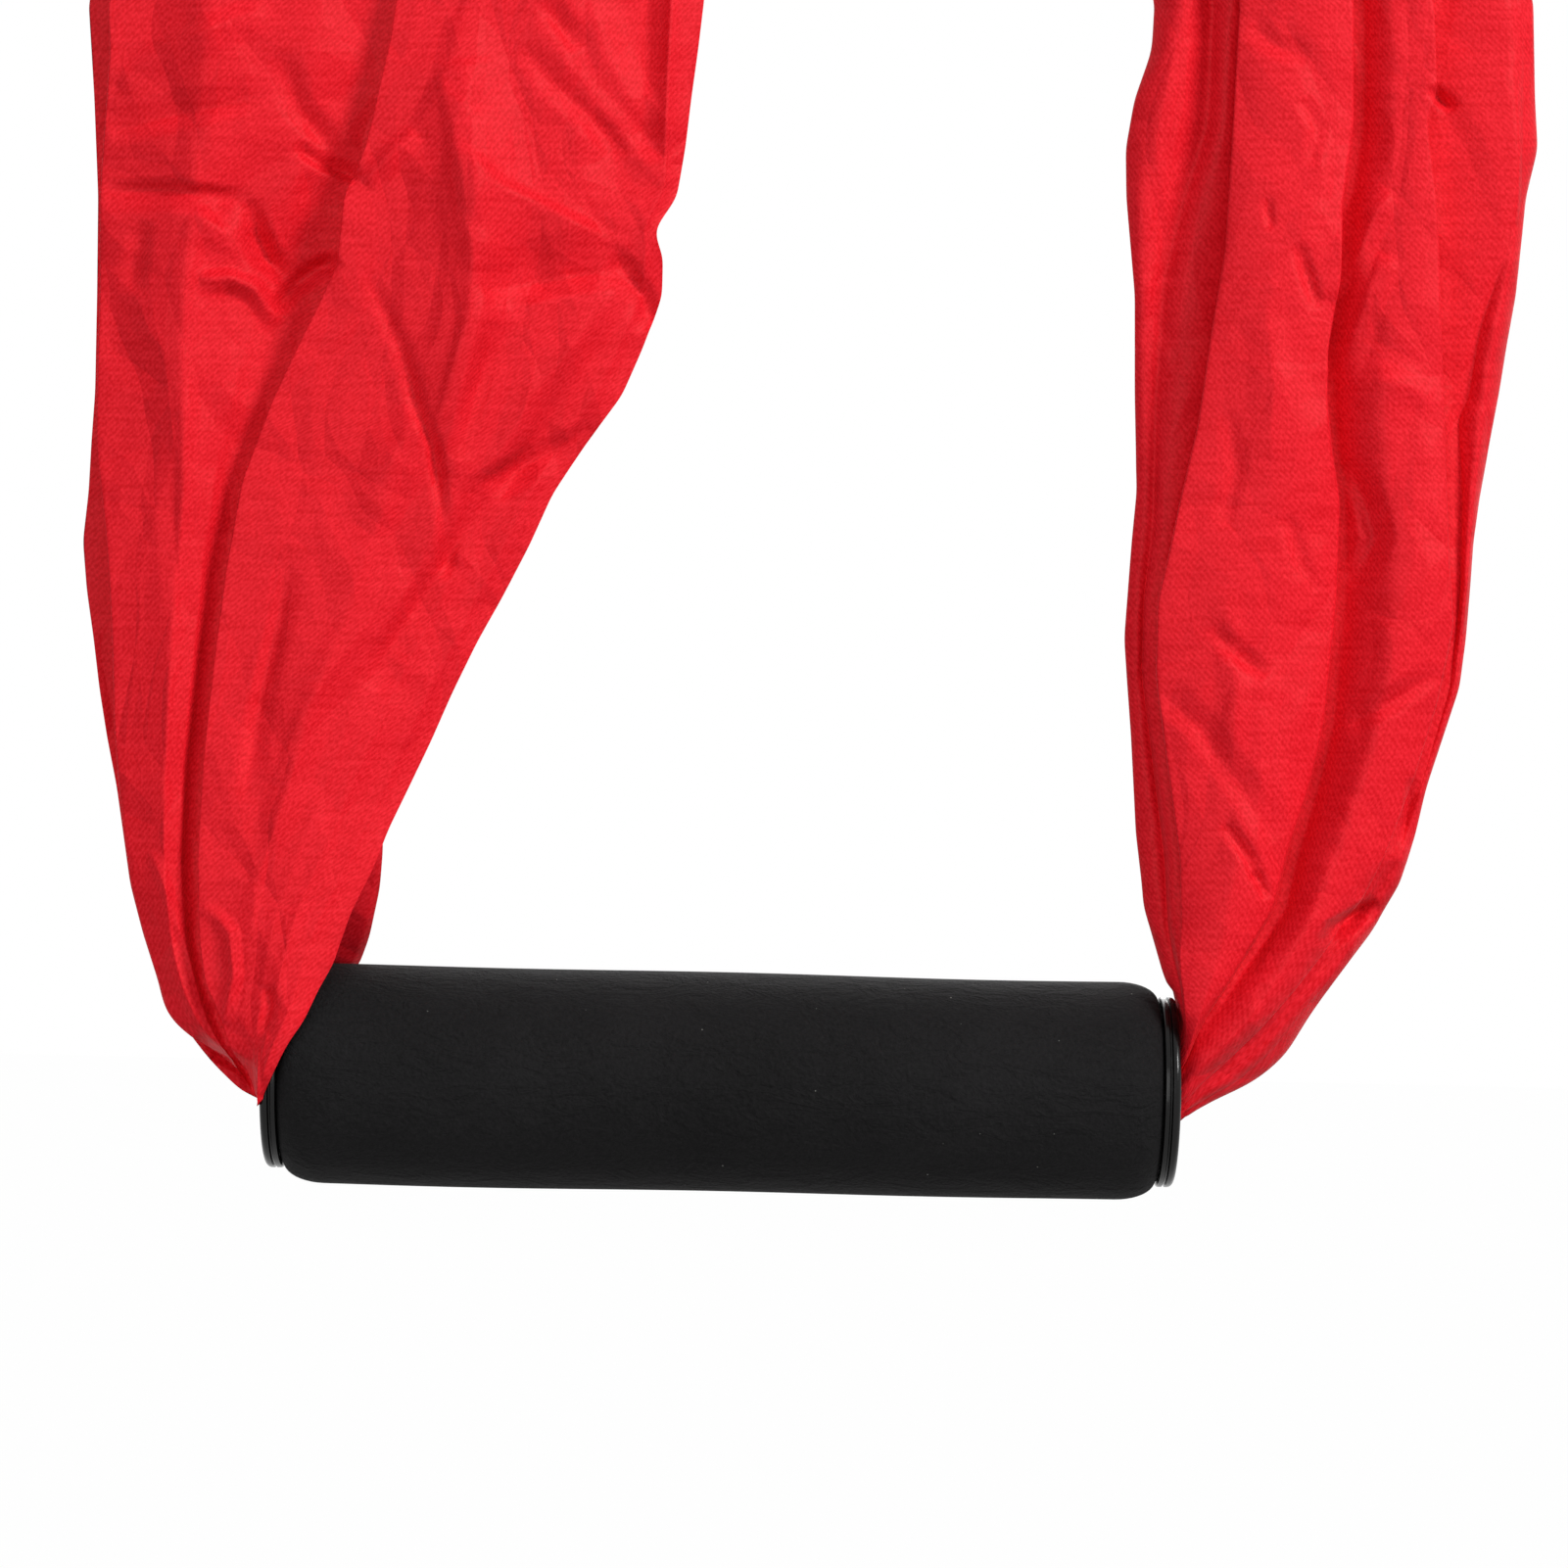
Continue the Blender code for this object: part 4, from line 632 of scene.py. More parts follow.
def eased(values, times):
    """Take the kinks out of rows of places and keep the first and last row."""
    values = values.copy()
    for _ in range(times):
        values[1:-1] = (values[:-2] + 2 * values[1:-1] + values[2:]) / 4
    return values


def smooth_table(at, places, values):
    """Read a table on a smooth curve that never swings past its rows."""
    places, values = np.array(places, float), np.array(values, float)
    slopes = np.diff(values) / np.diff(places)
    tangents = np.concatenate([slopes[:1], np.zeros(len(slopes) - 1), slopes[-1:]])
    for i in range(1, len(slopes)):
        if slopes[i - 1] * slopes[i] > 0:
            tangents[i] = 2 * slopes[i - 1] * slopes[i] / (slopes[i - 1] + slopes[i])
    at = np.clip(at, places[0], places[-1])
    i = np.clip(np.searchsorted(places, at, side="right") - 1, 0, len(slopes) - 1)
    span = places[i + 1] - places[i]
    s = (at - places[i]) / span
    return (
        values[i] * (1 + 2 * s) * (1 - s) ** 2
        + values[i + 1] * s * s * (3 - 2 * s)
        + span * (tangents[i] * s * (1 - s) ** 2 - tangents[i + 1] * s * s * (1 - s))
    )


def leg_lines(side, lines):
    """Every fold line as points in the model: an array of rows by lines by xyz, bottom row first."""
    made = []
    for _, (mouth_y, mouth_z), points in lines:
        rows, columns, outs = np.array(points, float).T
        # up from the mouth to the level row, then up the picture
        low = rows[-1] + (level_row - rows[-1]) * np.linspace(0, 1, mouth_rows + 1)[1:]
        high = np.linspace(level_row, 0, picture_rows + 1)[1:]
        at = np.concatenate([low, high])
        column = np.interp(at, rows, columns)
        out = smooth_table(at, rows, outs)
        line = []
        for k in range(collar_rows):
            reach = mouth_x - bore_in * (collar_rows - 1 - k) / (collar_rows - 1)
            line.append((grip_middle.x + side * reach, mouth_y / 1000, grip_middle.z + mouth_z / 1000))
        line += [photo_place(*place) for place in zip(column, at, out)]
        made.append(line)
    return np.array(made).transpose(1, 0, 2)


def upper_part(side, rows, upper):
    """Carry the fold lines on from the picture's top edge to the sling."""
    last = rows[-1]
    reach = side * (last[:, 0] - grip_middle.x)
    inner, outer, depth = reach.min(), reach.max(), last[:, 1].copy()
    share = (reach - inner) / (outer - inner)
    heights = [row[0] for row in upper]
    inners = [inner] + [row[1] for row in upper[1:]]
    outers = [outer] + [row[2] for row in upper[1:]]
    depths = [row[3] for row in upper]
    start = last[:, 2] - grip_middle.z
    made = []
    for i in range(1, upper_rows + 1):
        rise = i / upper_rows
        height = start + (loop_top - start) * rise
        level = np.array([height.mean()])
        near, far, thick = (float(smooth_table(level, heights, table)[0]) for table in (inners, outers, depths))
        # the fold lines wander a little on their way up
        wander = 0.03 * math.sin(math.pi * rise) * np.sin(5 * rise + 2.4 * np.arange(len(share)))
        x = grip_middle.x + side * (near + (far - near) * np.clip(share + wander, 0, 1))
        made.append(np.stack([x, depth * thick, grip_middle.z + height], axis=1))
    return np.concatenate([rows, np.array(made)])


def columns_between(rows, fineness, total):
    """Share the cloth's columns out over the stretches between fold lines, and measure those.

    A stretch's flat width is one that three quarters of its rows in the picture stay within.
    """
    chords = np.linalg.norm(np.diff(rows, axis=1), axis=2)
    flat = np.quantile(chords[mouth_rows : mouth_rows + picture_rows], 0.75, axis=0)
    wish = flat * fineness
    counts = np.maximum(2, np.round(wish * total / wish.sum())).astype(int)
    while counts.sum() != total:
        step = 1 if counts.sum() < total else -1
        spare = wish / counts if step > 0 else -wish / counts
        spare[(counts <= 2) & (step < 0)] = -np.inf
        counts[int(np.argmax(spare))] += step
    return counts, flat


crowding = 0.55  # how strongly the columns crowd towards the fold lines, where 0 is evenly spread
ripple_height = 0.0016  # the most that the gathered cloth's ripples stand out
pleat_depth = 0.0032  # how far its pleats reach inwards where it is packed into the collar


def cloth_points(rows, counts, flat, bulge, periods, gather, pull):
    """Fill in the cloth between its fold lines.

    It returns an array of rows by columns by xyz, and each column's place on the flat strip.
    """
    middle = rows.mean(axis=1)
    along = np.gradient(middle, axis=0)
    along /= np.linalg.norm(along, axis=1, keepdims=True)
    parts, places, start, k = [], [], 0.0, 0
    for j, n in enumerate(counts):
        even = np.arange(n) / n
        crowded = even + crowding * ((1 - np.cos(math.pi * even)) / 2 - even)
        a, b = rows[:, j], rows[:, j + 1]
        chord = b - a
        length = np.linalg.norm(chord, axis=1, keepdims=True)
        normal = np.cross(chord, along)
        normal /= np.maximum(np.linalg.norm(normal, axis=1, keepdims=True), 1e-9)
        spare = np.sqrt(np.maximum(flat[j] ** 2 - length**2, 0))
        size = np.minimum(spare * periods[j] / (4 * n), ripple_height * gather[:, None])
        size = size * np.minimum(gather, 1)[:, None]
        for t in crowded:
            swell = bulge[j] * 4 * t * (1 - t) * np.minimum(length / flat[j], 1)
            turn = math.tau * k / periods[j]
            at = a + chord * t + normal * (swell + size * math.cos(turn))
            inward = middle - at
            reach = np.maximum(np.linalg.norm(inward, axis=1, keepdims=True), 1e-6)
            deep = np.minimum(pleat_depth * (1 - math.cos(turn)) / 2, 0.6 * reach)
            parts.append(at + inward / reach * deep * pull[:, None])
            places.append(start + flat[j] * t)
            k += 1
        start += flat[j]
    parts.append(rows[:, -1])
    places.append(start)
    return np.array(parts).transpose(1, 0, 2), np.array(places)


crease_spread = 0.85  # a crease ends at this share of the width that is given for it
crease_fade = 0.6  # the power of the sine that fades it out towards its ends


def fold_crease(points, seen, size_mm, widths, path):
    """Press a crease into the cloth along a path of (column, row) in the picture.

    size_mm is towards the camera, or away from it when negative. widths are in pixels, to the left and to the
    right of the path as seen when it runs down the picture, or below and above when it runs to the right.
    """
    path = np.array(path, float)
    steps = np.diff(path, axis=0)
    lengths = np.linalg.norm(steps, axis=1)
    starts = np.concatenate([[0], np.cumsum(lengths)[:-1]])
    total = lengths.sum()
    best = np.full(seen.shape[:-1], 1e9)
    side = np.zeros_like(best)
    share = np.zeros_like(best)
    for origin, step, length, begun in zip(path[:-1], steps, lengths, starts):
        offset = seen - origin
        t = np.clip((offset @ step) / length**2, 0, 1)
        gap = offset - t[..., None] * step
        distance = np.linalg.norm(gap, axis=-1)
        nearer = distance < best
        best = np.where(nearer, distance, best)
        side = np.where(nearer, step[0] * offset[..., 1] - step[1] * offset[..., 0], side)
        share = np.where(nearer, (begun + t * length) / total, share)
    width = np.where(side > 0, widths[0], widths[1])
    fade = np.sin(math.pi * np.clip(share, 0, 1)) ** crease_fade
    points[..., 1] -= size_mm / 1000 * fade * np.maximum(1 - best / (crease_spread * width), 0)


# The creases that show in the picture: size, widths and path, as above
crease_gain = 1.55  # what their sizes are multiplied by
left_creases = (
    (0.8, (40, 46), ((453, 85), (474, 179), (484, 268), (480, 321), (449, 423), (403, 459), (367, 536))),
    (-0.9, (8, 16), ((372, 277), (408, 357), (424, 416), (440, 456), (450, 520), (456, 592))),
    (-1.1, (26, 52), ((494, 297), (560, 285), (640, 272))),
    (1.1, (52, 14), ((470, 150), (510, 190), (560, 215), (640, 255))),
    (1.1, (26, 40), ((496, 296), (488, 336), (464, 432), (448, 480))),
    (1.2, (70, 26), ((645, 274), (600, 336), (542, 410), (495, 490), (464, 576))),
    (-1.2, (30, 16), ((628, 262), (640, 275), (655, 300), (668, 335))),
    (-1.0, (18, 54), ((560, 430), (500, 505), (453, 575), (400, 655), (372, 700))),
    (-0.9, (16, 30), ((612, 434), (550, 465), (490, 495), (444, 587))),
    (1.2, (36, 50), ((472, 60), (480, 120), (488, 200), (500, 276))),
    (-1.1, (16, 24), ((283, 56), (304, 112), (335, 150), (364, 184))),
    (-1.3, (10, 16), ((301, 150), (330, 168), (366, 182))),
    (1.0, (16, 22), ((424, 136), (398, 160), (372, 186))),
    (0.9, (30, 22), ((120, 88), (156, 62), (192, 40), (270, 10))),
    (-0.9, (22, 26), ((112, 134), (160, 120), (216, 108), (272, 96))),
    (-1.1, (20, 26), ((533, 45), (564, 84), (600, 116), (640, 160))),
    (0.9, (24, 20), ((592, 88), (630, 130), (672, 184))),
    (-1.0, (28, 12), ((106, 194), (170, 192), (256, 202))),
    (-1.8, (16, 22), ((252, 204), (258, 235), (270, 262), (296, 290))),
    (1.5, (18, 14), ((203, 286), (238, 285), (262, 296), (285, 330))),
    (-1.4, (12, 20), ((346, 262), (318, 276), (296, 292), (282, 318))),
    (1.0, (34, 14), ((196, 215), (232, 240), (262, 290))),
    (0.5, (10, 10), ((154, 868), (172, 915), (188, 960), (202, 1000))),
    (0.8, (12, 13), ((206, 925), (222, 936), (235, 953), (239, 996), (228, 1045))),
    (-0.8, (10, 12), ((270, 1008), (276, 1026), (268, 1056))),
    (-1.6, (10, 14), ((197, 1062), (225, 1078), (249, 1092), (260, 1118))),
    (0.7, (34, 30), ((414, 585), (362, 655), (310, 727), (280, 800))),
    (-0.7, (14, 20), ((300, 560), (282, 640), (262, 730), (250, 820))),
    (0.6, (24, 24), ((330, 700), (300, 790), (262, 900))),
    (-0.7, (20, 16), ((149, 225), (140, 260), (136, 300))),
    (-1.0, (14, 20), ((556, 0), (575, 30), (590, 52))),
    (-0.8, (16, 20), ((505, 330), (488, 400), (470, 470))),
    (0.9, (26, 30), ((604, 0), (620, 60), (660, 130))),
    (-0.6, (20, 30), ((180, 420), (176, 520), (184, 640))),
)
right_creases = (
    (-0.9, (10, 14), ((1250, 841), (1275, 877), (1283, 902))),
    (-0.9, (14, 18), ((1237, 638), (1262, 668), (1293, 690))),
    (-1.2, (12, 20), ((1428, 877), (1403, 923), (1347, 963))),
    (-1.4, (12, 16), ((1406, 920), (1380, 938), (1354, 950))),
    (1.3, (34, 22), ((1421, 198), (1403, 218), (1379, 275), (1364, 310))),
    (1.3, (28, 26), ((1411, 259), (1387, 323), (1364, 390))),
    (-0.8, (14, 10), ((1326, 250), (1336, 280), (1346, 315))),
    (-0.5, (8, 8), ((1294, 202), (1296, 220), (1298, 234))),
    (0.5, (24, 24), ((1403, 388), (1430, 392), (1460, 408))),
    (-1.4, (18, 24), ((1378, 470), (1395, 510), (1405, 550), (1385, 600))),
    (-0.5, (12, 12), ((1314, 525), (1330, 578), (1346, 606))),
    (-0.7, (20, 26), ((1181, 703), (1228, 746), (1265, 800), (1302, 859))),
    (-0.8, (8, 10), ((1280, 890), (1287, 903), (1293, 918))),
    (-0.7, (16, 20), ((1376, 742), (1424, 716), (1470, 684))),
    (-0.9, (8, 12), ((1441, 794), (1438, 830), (1432, 864))),
    (-1.0, (10, 12), ((1460, 90), (1470, 100), (1484, 112))),
    (-0.5, (18, 18), ((1277, 24), (1300, 44), (1335, 60))),
    (0.5, (30, 24), ((1290, 300), (1300, 380), (1296, 470))),
    (-0.5, (16, 14), ((1256, 420), (1262, 480), (1250, 540))),
    (0.6, (24, 20), ((1250, 600), (1262, 700), (1256, 800))),
    (-0.5, (14, 14), ((1330, 100), (1345, 130), (1340, 170))),
)

# Nylon taffeta: a fine slanting grain, slightly uneven threads and a soft sheen. The red is also painted
# lighter where single threads would catch the light, as painted glints. The threads are drawn 0.45 mm
# apart, a little coarser than they are, so that they show at all.
thread_pitch = 0.00045
red_cloth, tree, shader = principled(
    "red_nylon_taffeta", colour("#d9141f"), 0.56, Specular_IOR_Level=0.11, Sheen_Weight=0.04, Sheen_Roughness=0.4
)
shader.inputs["Sheen Tint"].default_value = colour("#ff9a9a")
thread_place = add_node(tree, "ShaderNodeUVMap", uv_map="threads").outputs[0]
bands_apart = math.pi / 10  # how far apart a wave pattern's bands lie at a scale of 1
slanting = add_node(
    tree,
    "ShaderNodeTexWave",
    {
        "Vector": thread_place,
        "Scale": bands_apart / thread_pitch,
        "Distortion": 2.2,
        "Detail": 2.0,
        "Detail Scale": 1.4,
    },
    wave_type="BANDS",
    bands_direction="DIAGONAL",
)
# painted glints: a noise about a thread in size that lightens the red where threads would catch the light
glint = add_node(tree, "ShaderNodeMapping", {"Vector": thread_place, "Scale": (1 / 0.00042, 1 / 0.00062, 1.0)})
painted_glints = add_node(tree, "ShaderNodeTexNoise", {"Vector": glint.outputs[0], "Scale": 1.0, "Detail": 1.0})
slub = add_node(tree, "ShaderNodeMapping", {"Vector": thread_place, "Scale": (1 / 0.009, 1 / 0.0007, 1.0)})
slubs = add_node(tree, "ShaderNodeTexNoise", {"Vector": slub.outputs[0], "Scale": 1.0, "Detail": 1.0})
threads = add_node(
    tree, "ShaderNodeMath", {0: slubs.outputs[0], 1: 0.5, 2: painted_glints.outputs[0]}, operation="MULTIPLY_ADD"
)
weave = add_node(
    tree, "ShaderNodeMath", {0: slanting.outputs[1], 1: 0.22, 2: threads.outputs[0]}, operation="MULTIPLY_ADD"
)
# the weave, the uneven threads and the painted glints choose between the darker and the lighter red
thread_tone_and_glint_share = add_node(tree, "ShaderNodeMapRange", {"Value": weave.outputs[0], "From Min": 0.62, "From Max": 1.12})
red = add_node(
    tree,
    "ShaderNodeMix",
    {"Factor": thread_tone_and_glint_share.outputs[0], "A": colour("#cc0a18"), "B": colour("#e8202e")},
    data_type="RGBA",
)
tree.links.new(red.outputs["Result"], shader.inputs["Base Color"])

# Soft crumples: flat facets that meet in crisp lines, longer down the strip than across it
place = add_node(tree, "ShaderNodeTexCoord").outputs["Object"]
drift = add_node(tree, "ShaderNodeTexNoise", {"Vector": place, "Scale": 1 / 0.040, "Detail": 2.0})
drifted = add_node(
    tree,
    "ShaderNodeVectorMath",
    {0: drift.outputs["Color"], 1: (0.024, 0.020, 0.036), 2: place},
    operation="MULTIPLY_ADD",
)
normal = None
for across, along, height, turn in (
    (0.020, 0.046, 0.0030, 0.30),
    (0.011, 0.018, 0.0013, -0.55),
    (0.006, 0.009, 0.00030, 0.9),
):
    stretch = add_node(
        tree,
        "ShaderNodeMapping",
        {
            "Vector": drifted.outputs[0],
            "Location": (turn, turn, turn),
            "Rotation": (0, turn, 0),
            "Scale": (1 / across, 0.6 / across, 1 / along),
        },
    )
    facets = add_node(
        tree, "ShaderNodeTexVoronoi", {"Vector": stretch.outputs[0], "Scale": 1.0}, feature="DISTANCE_TO_EDGE"
    )
    inputs = {"Height": facets.outputs["Distance"], "Strength": 1.0, "Distance": height}
    if normal:
        inputs["Normal"] = normal
    normal = add_node(tree, "ShaderNodeBump", inputs).outputs[0]
woven = add_node(
    tree, "ShaderNodeBump", {"Height": weave.outputs[0], "Strength": 0.22, "Distance": 0.00010, "Normal": normal}
)
tree.links.new(woven.outputs[0], shader.inputs["Normal"])


def shaped_grid(points):
    """A grid moved onto an array of rows by columns of points, and each vertex's row and column."""
    rows, columns = points.shape[:2]
    bm = bmesh.new()
    bmesh.ops.create_grid(bm, x_segments=columns - 1, y_segments=rows - 1, size=1.0)
    bm.verts.ensure_lookup_table()
    order = sorted(range(len(bm.verts)), key=lambda i: (round(bm.verts[i].co.y, 6), round(bm.verts[i].co.x, 6)))
    cell_at = {}
    for k, i in enumerate(order):
        cell_at[i] = divmod(k, columns)
        bm.verts[i].co = points[cell_at[i]]
    return bm, cell_at


def cloth_piece(name, points, places, drop, node, seams):
    """A sheet of the strip: a grid moved onto its points, with two UV maps.

    flat_strip is the place on the flat strip. threads is measured along each row, and starts again at every
    fold line, so that the weave keeps its pitch where the cloth is gathered.
    """
    rows, columns = points.shape[:2]
    steps = np.linalg.norm(np.diff(points, axis=1), axis=2)
    gone = np.concatenate([np.zeros((rows, 1)), np.cumsum(steps, axis=1)], axis=1)
    panel = np.searchsorted(seams, np.arange(columns - 1), side="right") - 1
    middles = (gone[:, seams[:-1]] + gone[:, seams[1:]]) / 2
    flat_middles = (places[seams[:-1]] + places[seams[1:]]) / 2
    bm, cell_at = shaped_grid(points)
    bm.loops.layers.uv.new("flat_strip")
    bm.loops.layers.uv.new("threads")
    flat_layer, thread_layer = bm.loops.layers.uv["flat_strip"], bm.loops.layers.uv["threads"]
    for face in bm.faces:
        face.smooth = True
        j = panel[min(cell_at[loop.vert.index][1] for loop in face.loops)]
        for loop in face.loops:
            row, column = cell_at[loop.vert.index]
            loop[flat_layer].uv = (places[column], drop[row])
            measured = flat_middles[j] + gone[row, column] - middles[row, j]
            loop[thread_layer].uv = (measured, drop[row])
    piece = finished(name, bm, red_cloth, "strip", [node])
    return piece


fold_softness = 0.5  # how much one softening rounds a fold in front
edge_softness = 0.06  # and a crisp edge or a hem
closing_rows = 34  # the last rows, over which a leg closes to its bundle
bundle_start, bundle_span = -150, 330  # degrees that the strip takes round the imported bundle
bundle_pleat = 6  # columns to a pleat there
chance_creases = 150  # small ones on each leg, besides those in the picture
cloth_clearance = 0.0004
bundles = {}
for name, side, lines, upper, creases, front, node in (
    ("strip_left", -1, left_lines, left_upper, left_creases, 14, "fabric_leg_left"),
    ("strip_right", 1, right_lines, right_upper, right_creases, 17, "fabric_leg_right"),
):
    rows = upper_part(side, eased(leg_lines(side, lines), 9), upper)
    rows[split_row - 30 :] = eased(rows[split_row - 30 :], 6)
    in_front = np.arange(len(lines) - 1) < front
    counts, flat = columns_between(rows, np.where(in_front, 1.0, 0.21), cloth_columns)
    step = np.arange(len(rows))
    low_end = mouth_rows + collar_rows
    gather = np.interp(
        step,
        [0, 3, 8, low_end, low_end + picture_rows - 20, len(rows) - 60, len(rows)],
        [1.0, 1.0, 0.05, 0.03, 0.05, 0.8, 1.9],
    )
    pull = np.interp(step, [0, 2, 6], [1.0, 0.8, 0.0])
    bulge, periods = np.where(in_front, 0.0006, 0.0004), np.where(in_front, 10, 2)
    points, places = cloth_points(rows, counts, flat, bulge, periods, gather, pull)

    # round the soft folds and leave the crisp edges
    starts = np.concatenate([[0], np.cumsum(counts)])
    soft = np.where(np.arange(points.shape[1]) < starts[front], fold_softness, 0.0)
    for j, (line_name, _, _) in enumerate(lines):
        if "edge" in line_name or "hem" in line_name:
            soft[max(0, starts[j] - 1) : starts[j] + 2] = edge_softness
    for _ in range(10):
        points[:, 1:-1] += soft[1:-1, None] * ((points[:, :-2] + points[:, 2:]) / 2 - points[:, 1:-1])

    # towards the sling both legs gather into the same tight bundle
    whole = np.arange(cloth_columns + 1)
    turn = np.radians(bundle_start + bundle_span * whole / cloth_columns)
    packed = 1 - 0.5 * (1 - np.cos(math.tau * whole / bundle_pleat)) / 2
    packed_x = side * (bundle_reach + bundle_half[0] * packed * np.cos(turn))
    packed_y = bundle_half[1] * packed * np.sin(turn)
    near_top = np.clip((step - (len(rows) - 1 - closing_rows)) / closing_rows, 0, 1)[:, None]
    near_top = near_top**2 * (3 - 2 * near_top)
    points[..., 0] += near_top * (packed_x[None] - points[..., 0])
    points[..., 1] += near_top * (packed_y[None] - points[..., 1])

    # press the creases that the picture shows into the front
    right = points[..., 0] - aim.x
    up = points[..., 2] - aim.z
    nearer = camera_distance / (camera_distance + points[..., 1])
    flat_right = (right * math.cos(camera_roll) - up * math.sin(camera_roll)) * nearer
    flat_up = (right * math.sin(camera_roll) + up * math.cos(camera_roll)) * nearer
    scale = picture_width / frame_width
    seen = np.stack([picture_width / 2 + flat_right * scale, picture_width / 2 - flat_up * scale], axis=-1)
    front_columns = int(counts[:front].sum())
    for size_mm, widths, path in creases:
        fold_crease(points[:, :front_columns], seen[:, :front_columns], crease_gain * size_mm, widths, path)

    # and small chance ones everywhere, mostly along the leg: fainter where the picture shows the cloth
    chance = np.random.default_rng(7 if side < 0 else 11)
    leftmost, rightmost = seen[..., 0].min(), seen[..., 0].max()
    for _ in range(chance_creases):
        at_row = chance.uniform(-1150, 1080)
        at_column = chance.uniform(leftmost, rightmost)
        angle = chance.normal(1.35, 0.55)
        reach = chance.uniform(30, 110)
        bend = chance.normal(0, 0.3)
        before = np.array([math.cos(angle), math.sin(angle)]) * reach / 2
        after = np.array([math.cos(angle + bend), math.sin(angle + bend)]) * reach / 2
        middle = np.array([at_column, at_row])
        size_mm = chance.uniform(0.12, 0.34) if -20 < at_row < 1090 else chance.uniform(0.3, 0.9)
        size_mm *= 1 if chance.uniform() < 0.5 else -1
        widths = (chance.uniform(8, 26), chance.uniform(8, 26))
        path = (middle - before, middle, middle + after)
        if chance.uniform() < 0.5:
            fold_crease(points[:, :front_columns], seen[:, :front_columns], size_mm, widths, path)
        else:
            fold_crease(points[:, front_columns:], seen[:, front_columns:], size_mm * 1.6, widths, path)

    # keep the cloth off the collar's rim and the foam
    beside = side * (points[..., 0] - grip_middle.x)
    radius = np.hypot(points[..., 1], points[..., 2] - grip_middle.z)
    corner_share = np.clip((beside - foam_half + foam_corner[0]) / foam_corner[0], 0, 1)
    foam_here = end_radius + foam_corner[1] * np.sqrt(1 - corner_share**2)
    clear = np.where(beside < foam_half, np.maximum(foam_here, collar_radius), collar_radius) + cloth_clearance
    buried = (beside < face_x + 0.0002) & (radius > spigot_bore + mouth_flare) & (radius < clear)
    buried &= (step > collar_rows)[:, None]
    outwards = np.where(buried, clear / radius, 1.0)
    points[..., 1] *= outwards
    points[..., 2] = grip_middle.z + (points[..., 2] - grip_middle.z) * outwards

    drop = np.concatenate([[0], np.cumsum(np.linalg.norm(np.diff(rows.mean(axis=1), axis=0), axis=1))])
    for part_name, part in ((name, slice(0, split_row + 1)), (name + "_upper", slice(split_row, len(points)))):
        cloth_piece(part_name, points[part], places, drop[part], node, starts)
    bundles[side] = (points[0].copy(), points[-1].copy(), places)

# Between the legs the strip is a tight bundle: through the grip, and over the sling's lower bight
rope_low_z = -0.128
for name, end, steps, node in (
    ("strip_in_grip", 0, 24, "fabric_in_grip"),
    ("strip_over_sling", 1, 40, "fabric_crown"),
):
    left, right = bundles[-1][end], bundles[1][end]
    shares = np.linspace(0, 1, steps + 1)[:, None]
    if end == 0:
        points = left[None] + (right - left)[None] * shares[..., None]
    else:
        reach = np.abs(left[:, 0])[None]
        sunk = left[None, :, 2] + (right[:, 2] - left[:, 2])[None] * shares - rope_low_z
        turn = math.pi * (shares - 0.5)
        depth = np.broadcast_to(left[:, 1], (steps + 1, len(left[:, 1])))
        points = np.stack([reach * np.sin(turn), depth, rope_low_z + sunk + reach * np.cos(turn)], axis=-1)
    places = (bundles[-1][2] + bundles[1][2]) / 2
    drop = np.linspace(0, float(np.linalg.norm(np.diff(points.mean(axis=1), axis=0), axis=1).sum()), steps + 1)
    seams = np.array([0, cloth_columns])
    cloth_piece(name, points, places, drop, node, seams)


# Snap hook: 8 mm stainless wire, cold-bent to a D with a flat lower bar. Each end is forged to a flat
# tongue: the nose one holds the latch pin and the lower one the gate's rivet. Then it is tumbled.
wire_radius = 0.0040
bow_radius = 0.0190
corner_radius = 0.0090
bar_z = -0.0680
latch_z = -0.0200
hinge_z = -0.0545
gate_radius = 0.0038
end_gap = 0.0006
tongue_thickness = 0.0028
tongue_radius = 0.0034
tongue_root = 0.0032  # how far past the gate's end a tongue runs into the wire
tongue_edge = 0.0004
shoulder = 0.0011  # the wire's ends are rounded off where they meet the tongues
shoulder_angles = [math.radians(a) for a in (0, 30, 60, 90)]
low_bend = 82  # degrees: the wire's lower end is bent up not quite at a right angle
end_drift = 0.00004  # and drifts sideways by this at each step of its shoulder

# Tumbled stainless steel: a soft grey shine, with fine scratches that run every way
tumbled_steel, tree, shader = principled("tumbled_stainless_steel", colour("#a9a8a5"), 0.26, Metallic=1.0)
place = add_node(tree, "ShaderNodeTexCoord").outputs["Object"]
cloud = add_node(tree, "ShaderNodeTexNoise", {"Vector": place, "Scale": 1 / 0.0060, "Detail": 3.0})
scratches = add_node(
    tree,
    "ShaderNodeTexNoise",
    {"Vector": place, "Scale": 1 / 0.0005, "Detail": 5.0, "Roughness": 0.8, "Distortion": 1.2},
)
both = add_node(
    tree, "ShaderNodeMath", {0: cloud.outputs[0], 1: 0.6, 2: scratches.outputs[0]}, operation="MULTIPLY_ADD"
)
dulled = add_node(
    tree,
    "ShaderNodeMapRange",
    {"Value": both.outputs[0], "From Min": 0.55, "From Max": 1.05, "To Min": 0.18, "To Max": 0.36},
)
tone = add_node(
    tree,
    "ShaderNodeMix",
    {"Factor": cloud.outputs[0], "A": colour("#9a9996"), "B": colour("#b6b5b1")},
    data_type="RGBA",
)
dents = add_node(tree, "ShaderNodeBump", {"Height": both.outputs[0], "Strength": 0.18, "Distance": 0.00006})
tree.links.new(tone.outputs["Result"], shader.inputs["Base Color"])
tree.links.new(dulled.outputs[0], shader.inputs["Roughness"])
tree.links.new(dents.outputs[0], shader.inputs["Normal"])


